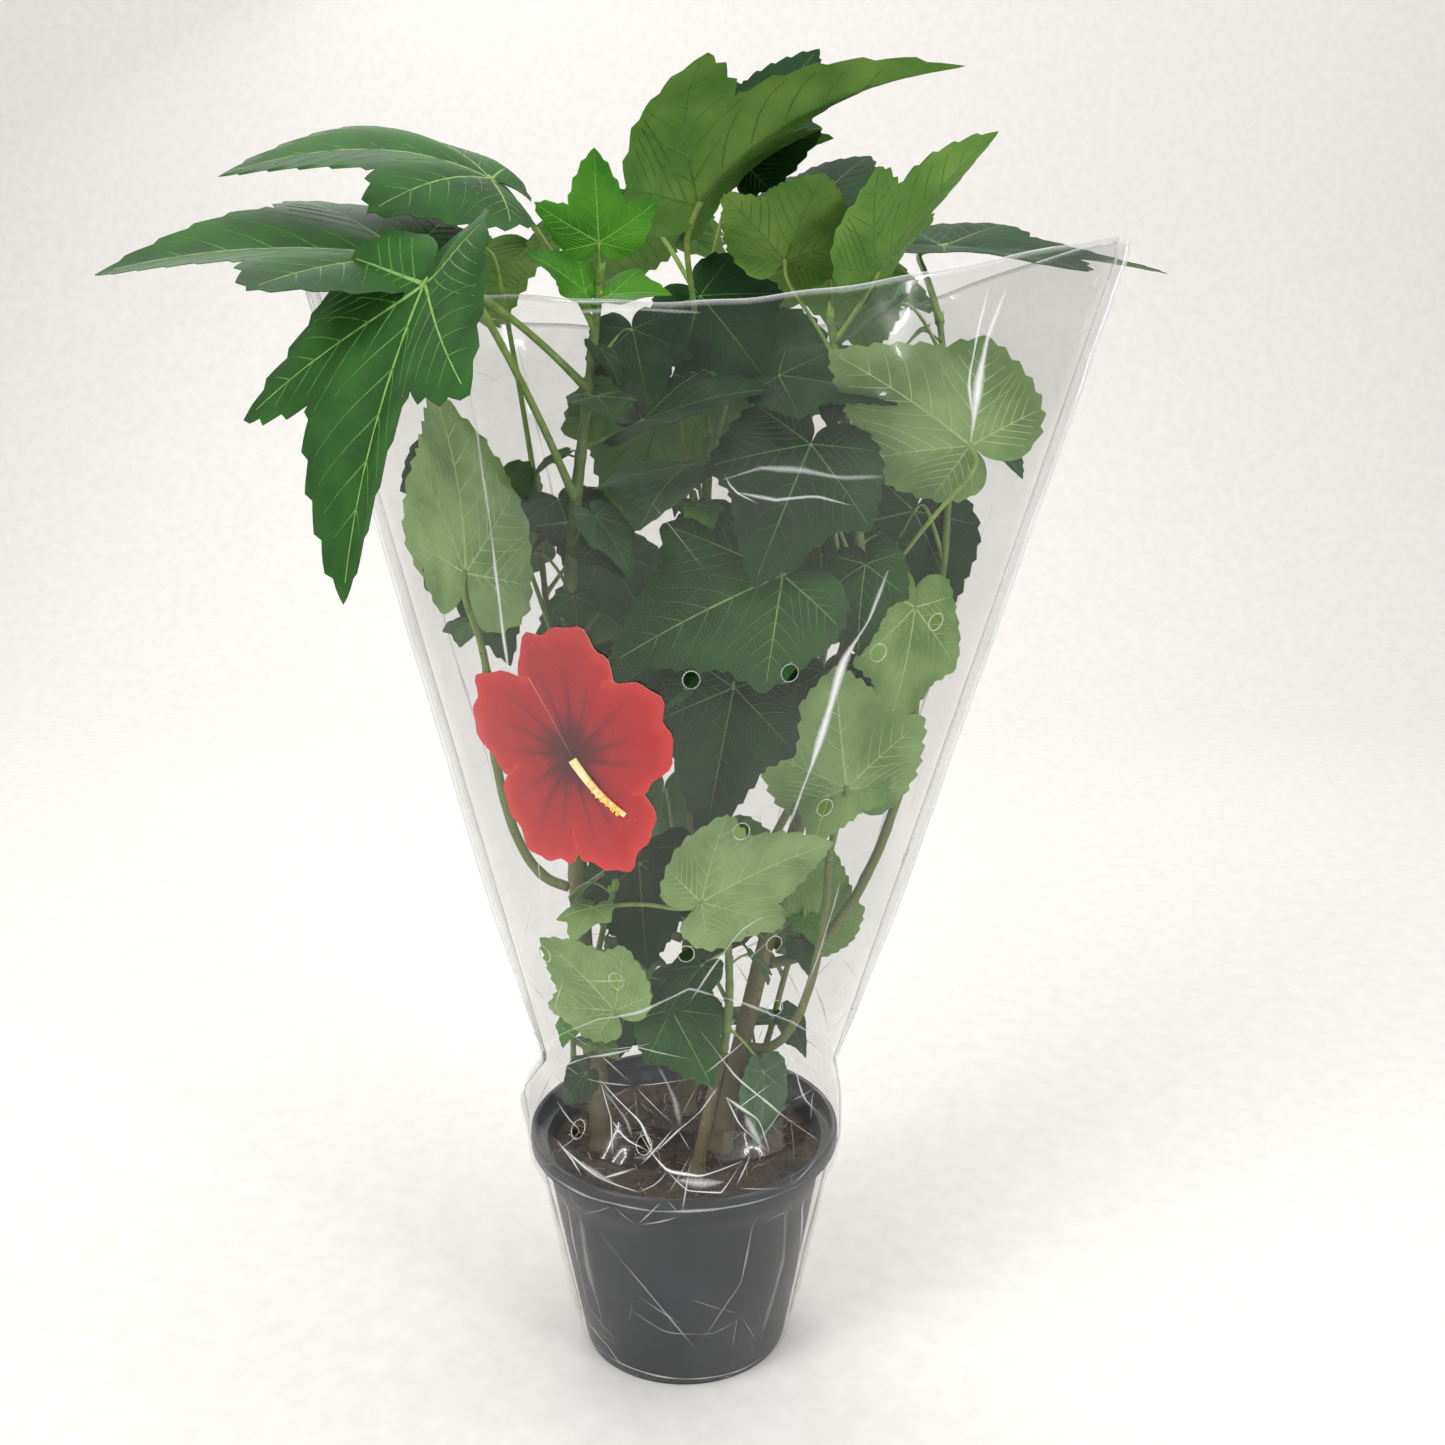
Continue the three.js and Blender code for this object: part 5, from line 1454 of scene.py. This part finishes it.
def crumple_net():
    """The corner points of the facets, their heights off the sleeve and the triangles between them."""
    draw = seeded_numbers(CRUMPLE_SEED)
    corners, heights = [], []
    levels = [row[0] for row in CRUMPLE]
    for k, (level, count, least, most) in enumerate(CRUMPLE):
        gap = min(level - levels[k - 1] if k else 20, levels[k + 1] - level if k + 1 < len(levels) else 40)
        turn = draw()
        for i in range(count):
            bearing = 360 * (i + turn + 0.55 * (draw() - 0.5)) / count
            z = level + 0.62 * gap * (draw() - 0.5)
            lift = least + (most - least) * draw()
            for wrap in (-360, 0, 360):
                corners.append(((bearing + wrap) * ARC, z))
                heights.append(lift)
    outer = [(b * ARC, z) for b in NET_FRAME["bearings"] for z in NET_FRAME["heights"]]
    outer += [(b * ARC, z) for z in NET_FRAME["heights"] for b in NET_FRAME["between"]]
    heights += [0] * len(outer)
    flat = [Vector(corner) for corner in corners + outer]
    points, _, faces, origins = delaunay_2d_cdt(flat, [], [], 0, 0.001)[:4]
    lifts = [heights[o[0]] for o in origins]
    triangles = [face for face in faces if len(face) == 3]
    return np.array([list(p) for p in points]), np.array(lifts), triangles


NET, NET_LIFTS, NET_FACES = crumple_net()


def crumpled(bearing, z):
    """How far the facets stand off the sleeve's plain shape."""
    u, v = np.asarray(bearing, float) * ARC, np.asarray(z, float)
    found = np.zeros(np.broadcast(u, v).shape)
    u, v = np.broadcast_to(u, found.shape), np.broadcast_to(v, found.shape)
    low_u, high_u, low_v, high_v = u.min(), u.max(), v.min(), v.max()
    for face in NET_FACES:
        a, b, c = NET[face]
        if max(a[0], b[0], c[0]) < low_u or min(a[0], b[0], c[0]) > high_u:
            continue
        if max(a[1], b[1], c[1]) < low_v or min(a[1], b[1], c[1]) > high_v:
            continue
        area = (b[0] - a[0]) * (c[1] - a[1]) - (c[0] - a[0]) * (b[1] - a[1])
        s = ((u - a[0]) * (c[1] - a[1]) - (c[0] - a[0]) * (v - a[1])) / area
        t = ((b[0] - a[0]) * (v - a[1]) - (u - a[0]) * (b[1] - a[1])) / area
        inside = (s >= -1e-6) & (t >= -1e-6) & (s + t <= 1 + 1e-6)
        heights = NET_LIFTS[face]
        value = heights[0] + s * (heights[1] - heights[0]) + t * (heights[2] - heights[0])
        found = np.where(inside, value, found)
    return found


def film_reach(bearing, z):
    """The film's distance from the axis with its crumples, at bearings from -90 to 450 degrees."""
    soft, fine = waves(*FILM_WAVES["soft"]), waves(*FILM_WAVES["fine"])
    upper = np.clip((z - 205) / 60, 0, 1)
    swell = 0.55 * soft(bearing * ARC, z * 0.45) * upper
    ripple = 0.12 * fine(bearing * ARC * 1.5, z * 0.8)
    return sleeve_reach(bearing, z) + crumpled(bearing, z) + swell + ripple * (0.4 + 0.6 * upper)


def add_values(thing, name, *values):
    """Give each point of a piece its number. The points after the last number get none."""
    numbers = np.zeros(len(thing.data.vertices), np.float32)
    flat = np.concatenate(values)
    numbers[:len(flat)] = flat
    thing.data.attributes.new(name, "FLOAT", "POINT").data.foreach_set("value", numbers)


def rim_faces(faces, count):
    """Quads that join a sheet's first layer to its second along every free edge."""
    sides = [tuple(pair) for k in range(4) for pair in faces[:, [k, (k + 1) % 4]].tolist()]
    taken = set(sides)
    free = [pair for pair in sides if pair[::-1] not in taken]
    return np.array([[b, a, a + count, b + count] for a, b in free])


def punch_holes(faces, around, z):
    """Leave out the faces inside each air hole, and draw the corners of its edge onto the circle."""
    for bearing, height in HOLES:
        arc = math.radians(float(sleeve_reach(float(bearing), float(height))))
        u, v = (around - bearing).ravel() * arc, z.ravel() - height
        inside = np.hypot(u[faces].mean(1), v[faces].mean(1)) < HOLE["radius"]
        if not inside.any():
            continue
        rim = np.intersect1d(faces[inside], faces[~inside])
        pull = HOLE["radius"] / np.hypot(u[rim], v[rim])
        around.flat[rim] = bearing + u[rim] * pull / arc
        z.flat[rim] = height + v[rim] * pull
        faces = faces[~inside]
    return faces


def make_sheet(name, start, shift, finish):
    """One welded sheet of the sleeve, a thin shell with a wavy mouth."""
    rows, columns = FILM["rows"], FILM["columns"]
    bearing = np.linspace(start, start + 180, columns)
    mouth = mouth_height(bearing) + 0.9 * np.sin(bearing / 9) + 0.4 * np.sin(bearing / 3.1)
    share = np.linspace(0, 1, rows)
    z = SLEEVE_Z[0] + share[:, None] * (mouth - SLEEVE_Z[0])[None]
    around = np.broadcast_to(bearing, z.shape).copy()
    faces = punch_holes(grid_faces(rows, columns), around, z)
    reach = film_reach(around, z)
    near_seam = np.clip(np.minimum(around - start, start + 180 - around) / 4, 0, 1)
    reach = sleeve_reach(around, z) + (reach - sleeve_reach(around, z)) * near_seam
    layers = []
    for lift in (FILM["sheet"] / 2, -FILM["sheet"] / 2):
        x = (reach + lift) * np.cos(np.radians(around))
        y = (reach + lift) * np.sin(np.radians(around)) + shift
        layers.append(np.stack([x, y, z], -1).reshape(-1, 3))
    count = rows * columns
    bag = Bag()
    bag.add(np.concatenate(layers), (faces, 0), (faces[:, ::-1] + count, 0), (rim_faces(faces, count), 0))
    sheet = bag.piece(name + "_film", [finish])
    # Painted highlight: the film turns white along the mouth's cut edge.
    shine = (np.clip((z - mouth[None] + FILM["edge"]) / FILM["edge"], 0, 1) * 0.8).ravel()
    add_values(sheet, "crease", shine, shine)
    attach(sheet, "root")
    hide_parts(name)


def make_seams(finish):
    """The two welded fins where the sheets meet, each with a double line."""
    bag = Bag()
    shine = []
    for side in (0, 180):
        top = float(mouth_height(np.array(side))) - 0.5
        z = np.linspace(SLEEVE_Z[0] + 4, top, 120)
        reach = sleeve_reach(np.full(len(z), float(side)), z)
        sign = 1 if side == 0 else -1
        wave = 0.8 * np.sin(z / 19) + 0.5 * np.sin(z / 7.3)
        outs = SEAM["lines"]
        rows = []
        for lift in (SEAM["half"], -SEAM["half"]):
            for i, out in enumerate(outs):
                x = sign * (reach + out * np.clip((z - 150) / 130, 0.16, 1))
                y = wave * (out / outs[-1]) ** 2 + lift * (2.2 if i in SEAM["welded"] else 1)
                rows.append(np.stack([x, y, z], -1))
                # Painted highlights along the fin: strong white on the bright lines, a faint white on the
                # others.
                shine.append(np.full(len(z), 0.85 if i in SEAM["bright"] else 0.25))
        count = len(outs) * len(z)
        faces = grid_faces(len(outs), len(z))[:, ::sign]
        bag.add(np.concatenate(rows), (faces, 0), (faces[:, ::-1] + count, 0), (rim_faces(faces, count), 0))
    seams = bag.piece("sleeve_seams", [finish])
    add_values(seams, "crease", *shine)
    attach(seams, "root")


def on_film(bearing, z, lift):
    reach = film_reach(bearing, z) + lift
    return np.stack([reach * np.cos(np.radians(bearing)), reach * np.sin(np.radians(bearing)), z], -1)


def add_glint(bag, shines, path, half_width, strength):
    """A painted highlight: a flat sliver along a path on the film, widest in the middle, that fades to its
    edges.
    """
    path = np.array(path, float)
    run = np.concatenate([[0], np.cumsum(np.hypot(np.diff(path[:, 0]) * ARC, np.diff(path[:, 1])))])
    count = max(5, int(run[-1] / 4))
    at = np.linspace(0, run[-1], count)
    bearing, z = np.interp(at, run, path[:, 0]), np.interp(at, run, path[:, 1])
    for _ in range(2 if len(path) > 2 else 0):
        bearing[1:-1] = (bearing[:-2] + 2 * bearing[1:-1] + bearing[2:]) / 4
    way = np.stack([np.gradient(bearing) * ARC, np.gradient(z)], -1)
    way /= np.linalg.norm(way, axis=1)[:, None]
    share = at / run[-1]
    swell = np.sin(np.pi * np.clip(share, 0.02, 0.98)) ** 0.5
    uneven = 0.62 + 0.38 * np.sin(at / 9 + path[0, 1]) * np.sin(at / 23 + path[0, 0])
    width = half_width * swell * uneven + 0.05
    rows = []
    for across, lift in ((-1, 0.2), (0, 0.42), (1, 0.2), (0, 0.18)):
        b = bearing + across * width * way[:, 1] / ARC
        rows.append(on_film(b, z - across * width * way[:, 0], FILM["sheet"] / 2 + lift))
    points = np.stack(rows, 1).reshape(-1, 3)
    last = len(points) - 4
    ends = [[0, 1, 2, 3], [last + 3, last + 2, last + 1, last]]
    bag.add(points, (grid_faces(count, 4, True), 0), (ends, 0))
    for k in range(count):
        bright = strength * (0.45 + 0.55 * uneven[k]) * swell[k]
        shines.extend([0, bright, 0, bright])


def make_glints():
    """Painted highlights: white slivers along the long folds and along the sharper edges of the facets."""
    bag, shines = Bag(), []
    for path, half_width, strength in GLINTS:
        add_glint(bag, shines, path, half_width, strength)
    rule = EDGE_GLINTS
    draw = seeded_numbers(rule["seed"])
    slopes, sides = [], {}
    for face in NET_FACES:
        a, b, c = NET[face]
        h = NET_LIFTS[face]
        grid = np.array([b - a, c - a])
        steep = abs(np.linalg.det(grid)) > 1
        slopes.append(np.linalg.solve(grid, [h[1] - h[0], h[2] - h[0]]) if steep else vec([0, 0]))
        for k in range(3):
            sides.setdefault(tuple(sorted((face[k], face[(k + 1) % 3]))), []).append(len(slopes) - 1)
    for (first, second), faces in sides.items():
        if len(faces) != 2:
            continue
        a, b = NET[first], NET[second]
        bearing = (a[0] + b[0]) / 2 / ARC
        z = (a[1] + b[1]) / 2
        chance = draw()
        if not 0 <= bearing < 360 or not rule["low"] < min(a[1], b[1]) or max(a[1], b[1]) > rule["high"]:
            continue
        if abs(bearing % 180 - 90) > rule["from_seam"] or np.hypot(*(b - a)) < rule["shortest"]:
            continue
        jump = np.linalg.norm(slopes[faces[0]] - slopes[faces[1]])
        low, high = rule["waist"]
        bright = rule["in_waist"] if low < z < high else rule["elsewhere"]
        strength = np.clip((jump - rule["least_turn"]) / rule["full_turn"], 0, 1) * bright
        if strength < rule["weakest"] or chance > rule["share"]:
            continue
        start, end = a + (b - a) * 0.06, a + (b - a) * 0.94
        path = [(start[0] / ARC, start[1]), (end[0] / ARC, end[1])]
        add_glint(bag, shines, path, 0.5 + 1.1 * strength * draw(), 0.16 + 0.55 * strength)
    # Painted highlight: white, with its alpha from each sliver's painted brightness.
    f = Finish("film_glint")
    fine = f.noise(300, 2)
    finish = f.surface(
        Base_Color=f.blend(fine, rgb(244, 244, 244), rgb(255, 255, 255)),
        Roughness=0.2 + fine * 0.15,
        Alpha=f.attribute("crease") * 0.9,
        Specular_IOR_Level=0.8,
    )
    glints = bag.piece("sleeve_glints", [finish])
    add_values(glints, "crease", shines)
    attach(glints, "root")


def make_hole_lips():
    """The pale lips of the holes that are punched through the film."""
    bag = Bag()
    turns = np.linspace(0, 2 * np.pi, HOLE["corners"] + 1)[:-1]
    notches = np.where(np.arange(HOLE["corners"]) % 2, 1.5, 0.5)
    for bearing, z in HOLES:
        reach = float(sleeve_reach(float(bearing), float(z)))
        b = bearing + np.degrees(HOLE["radius"] * np.cos(turns) / reach)
        height = z + HOLE["radius"] * np.sin(turns) * 1.08
        ring = on_film(b, height, 0.1)
        middle = ring.mean(0)
        rows = []
        for out, lift in ((1, 0), (0, 0.25), (-1, 0), (0, -0.25)):
            outward = ring - middle
            outward /= np.linalg.norm(outward, axis=1)[:, None]
            away = unit(middle * [1, 1, 0])
            rows.append(ring + outward * (HOLE["lip"] * out * notches)[:, None] + away * lift)
        bag.add(np.concatenate(rows), (grid_faces(4, len(turns), True, True), 0))
    finish = paper_finish("hole_lip", rgb(150, 154, 148), rgb(222, 226, 220), 0.4)
    lips = bag.piece("sleeve_hole_lips", [finish])
    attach(lips, "root")


# The label's place on the film, and the size, thickness, overlap and rows of points of its petals.
LABEL = {
    "bearing": 240, "height": 407, "petals": 5, "reach": 70, "width": 0.8, "lift": 1.05,
    "sheet": 0.3, "rings": 16, "spokes": 26, "overlap": 1.16,
}
# The bloom's column runs out from the middle, and its dots sit on its outer part.
COLUMN = {"from": 2, "to": 47, "points": 12, "turn": 5.35, "foot": 2.6, "tip": 1.5}
DOTS = {"count": 46, "seed": 9, "first": 0.42, "spread": 0.58, "length": 1.7, "radius": 0.7}


def make_label():
    """A printed flower: five broad petals that overlap, and a raised pale column with its dots."""
    arc = math.radians(float(sleeve_reach(LABEL["bearing"], LABEL["height"])))
    bag = Bag()
    bloom, streak = [], []

    def place(reach, turn, extra):
        bearing = LABEL["bearing"] + reach * np.cos(turn) * LABEL["width"] / arc
        z = LABEL["height"] + reach * np.sin(turn)
        out = film_reach(np.atleast_1d(bearing), np.atleast_1d(z)) + LABEL["lift"] + extra
        return np.stack([out * np.cos(np.radians(bearing)), out * np.sin(np.radians(bearing)), z], -1)

    half = math.pi / LABEL["petals"] * LABEL["overlap"]
    for petal in range(LABEL["petals"]):
        middle = math.pi / 2 + 2 * math.pi * petal / LABEL["petals"]
        u = np.linspace(-1, 1, LABEL["spokes"])
        s = np.linspace(0, 1, LABEL["rings"])
        edge = LABEL["reach"] * (1 - 0.34 * np.abs(u) ** 2.4 - 0.03 * np.sin(u * 9 + 2 * petal))
        edge = edge + 1.5 * np.sin(u * 17 + petal)
        spokes, rings = np.meshgrid(u, s)
        turn = middle + spokes * half
        reach = rings * edge[None, :]
        ruffle = 0.16 * np.sin(spokes * 9 + petal) * rings
        extra = 0.12 * petal + 0.28 * (1 - spokes) * rings * 0.6 + ruffle
        layers = [place(reach.ravel(), turn.ravel(), extra.ravel() + lift) for lift in (LABEL["sheet"], 0)]
        count = len(layers[0])
        faces = grid_faces(LABEL["rings"], LABEL["spokes"])[:, ::-1]
        bag.add(np.concatenate(layers), (faces, 0), (faces[:, ::-1] + count, 0), (rim_faces(faces, count), 1))
        lines = (0.5 + 0.5 * np.cos(spokes * 12.6 + 0.5 * np.sin(rings * 5))) ** 2
        for _ in layers:
            bloom.append(rings.ravel())
            streak.append((lines * np.clip(1.15 - rings, 0, 1)).ravel())
    along = np.linspace(COLUMN["from"], COLUMN["to"], COLUMN["points"])
    column = place(along, COLUMN["turn"] + 0.25 * along / 50, 1.1 + 0.5 * np.sin(along / 16))
    add_tube(bag, column, np.linspace(COLUMN["foot"], COLUMN["tip"], len(along)), 9, 2)
    draw = seeded_numbers(DOTS["seed"])
    for _ in range(DOTS["count"]):
        share = DOTS["first"] + DOTS["spread"] * draw()
        point = column[int(share * (len(column) - 1))]
        way = unit(point * [1, 1, 0] + vec([draw() - 0.5, draw() - 0.5, draw() - 0.5]) * 150)
        add_bud(bag, point + way * 1.4, way, DOTS["length"], DOTS["radius"], 3)
    finishes = [
        label_finish(),
        paper_finish("label_edge", rgb(232, 214, 204), rgb(244, 232, 224), 0.4),
        paper_finish("label_column", rgb(236, 214, 150), rgb(246, 230, 178), 0.4),
        paper_finish("label_pollen", rgb(240, 196, 70), rgb(250, 214, 104), 0.5),
    ]
    label = bag.piece("label_print", finishes, 40)
    add_values(label, "bloom", *bloom)
    add_values(label, "streak", *streak)
    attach(label, "root")
    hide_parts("label")


limbs = grow_stems()
grow_boughs(limbs)
grown = grow_masses(limbs)

for stem in STEMS:
    add_wood(stem, limbs[stem], "stem")
for bough in BOUGHS:
    add_wood(bough, limbs[bough], "bough")

leaf_draw = seeded_numbers(2024)
for mass, (shoot, leaves) in grown.items():
    blades, twigs = dress_mass(shoot, leaves, leaf_draw)
    foliage = blades.piece(mass + "_foliage", [LEAF_FINISHES[n] for n in LEAF_SLOTS], 60)
    sprigs = twigs.piece(mass + "_twigs", TWIG_FINISHES)
    for piece in (foliage, sprigs):
        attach(piece, "root")
    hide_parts(mass)

make_pot()
make_soil()
clear_film = film_finish("clear_film", FILM["clear"], FILM["highlight_strength"])
make_sheet("sleeve_front", 180, -CLEAR / 2, clear_film)
make_sheet("sleeve_back", 0, CLEAR / 2, clear_film)
make_seams(clear_film)
make_glints()
make_hole_lips()
make_label()


# The room: a pale floor that curves up behind, soft lights and the camera.

FLOOR = {"near": -2.2, "bend": 1.5, "radius": 0.8, "height": 2.6, "half_width": 3.2}
CAMERA = {"place": (0.0237, -0.901, 0.638), "pitch": 14.8, "lens": 39.9, "sensor": 36}
WORLD = {"Color": (0.93, 0.95, 1.0, 1), "Strength": 0.44}
# Each light: its place, what it points at, its width and height in metres, and its power in watts.
LIGHTS = [
    ("window_light", (-1.6, -1.5, 2.2), (0, 0, 0.4), (1.4, 1.4), 37),
    ("sky_light", (0.7, 0.3, 2.8), (0, 0, 0.35), (2.2, 2.2), 36),
    ("fill_light", (1.9, -1.8, 1.2), (0, 0, 0.4), (1.8, 1.8), 18),
    ("rear_light", (-0.7, 1.8, 1.9), (0, 0, 0.5), (1.4, 1.4), 18),
    ("left_strip", (-1.3, -1.1, 0.9), (0, 0, 0.4), (0.05, 1.3), 6),
    ("right_strip", (1.2, -1.2, 0.9), (0, 0, 0.4), (0.05, 1.3), 6),
]


def make_floor():
    bend, radius = FLOOR["bend"], FLOOR["radius"]
    turns = np.linspace(0, math.pi / 2, 13)
    profile = [(FLOOR["near"], 0.0)]
    profile += [(bend + math.sin(t) * radius, radius - math.cos(t) * radius) for t in turns]
    profile.append((bend + radius, FLOOR["height"]))
    points = [[side * FLOOR["half_width"] / MM, y / MM, z / MM] for y, z in profile for side in (-1, 1)]
    f = Finish("pale_floor")
    grain = f.noise(60, 4)
    finish = f.surface(
        Base_Color=f.blend(f.level(grain, 0.3, 0.7), rgb(226, 223, 218), rgb(234, 231, 226)),
        Roughness=0.7 + grain * 0.1,
    )
    bag = Bag()
    bag.add(points, (grid_faces(len(profile), 2), 0))
    bag.piece("pale_floor", [finish])


def make_lights():
    for name, place, target, size, power in LIGHTS:
        lamp = bpy.data.lights.new(name, "AREA")
        lamp.shape = "RECTANGLE"
        lamp.size, lamp.size_y = size
        lamp.energy = power
        thing = bpy.data.objects.new(name, lamp)
        thing.location = place
        thing.rotation_euler = (Vector(target) - Vector(place)).to_track_quat("-Z", "Y").to_euler()
        bpy.context.scene.collection.objects.link(thing)
    world = bpy.data.worlds.new("soft_room")
    world.use_nodes = True
    for key, value in WORLD.items():
        world.node_tree.nodes["Background"].inputs[key].default_value = value
    bpy.context.scene.world = world
    bpy.context.scene.view_settings.view_transform = "Standard"


def make_camera():
    camera = bpy.data.cameras.new("camera")
    camera.sensor_width = CAMERA["sensor"]
    camera.lens = CAMERA["lens"]
    thing = bpy.data.objects.new("camera", camera)
    thing.location = CAMERA["place"]
    thing.rotation_euler = (math.radians(90 - CAMERA["pitch"]), 0, 0)
    bpy.context.scene.collection.objects.link(thing)
    bpy.context.scene.camera = thing


make_floor()
make_lights()
make_camera()
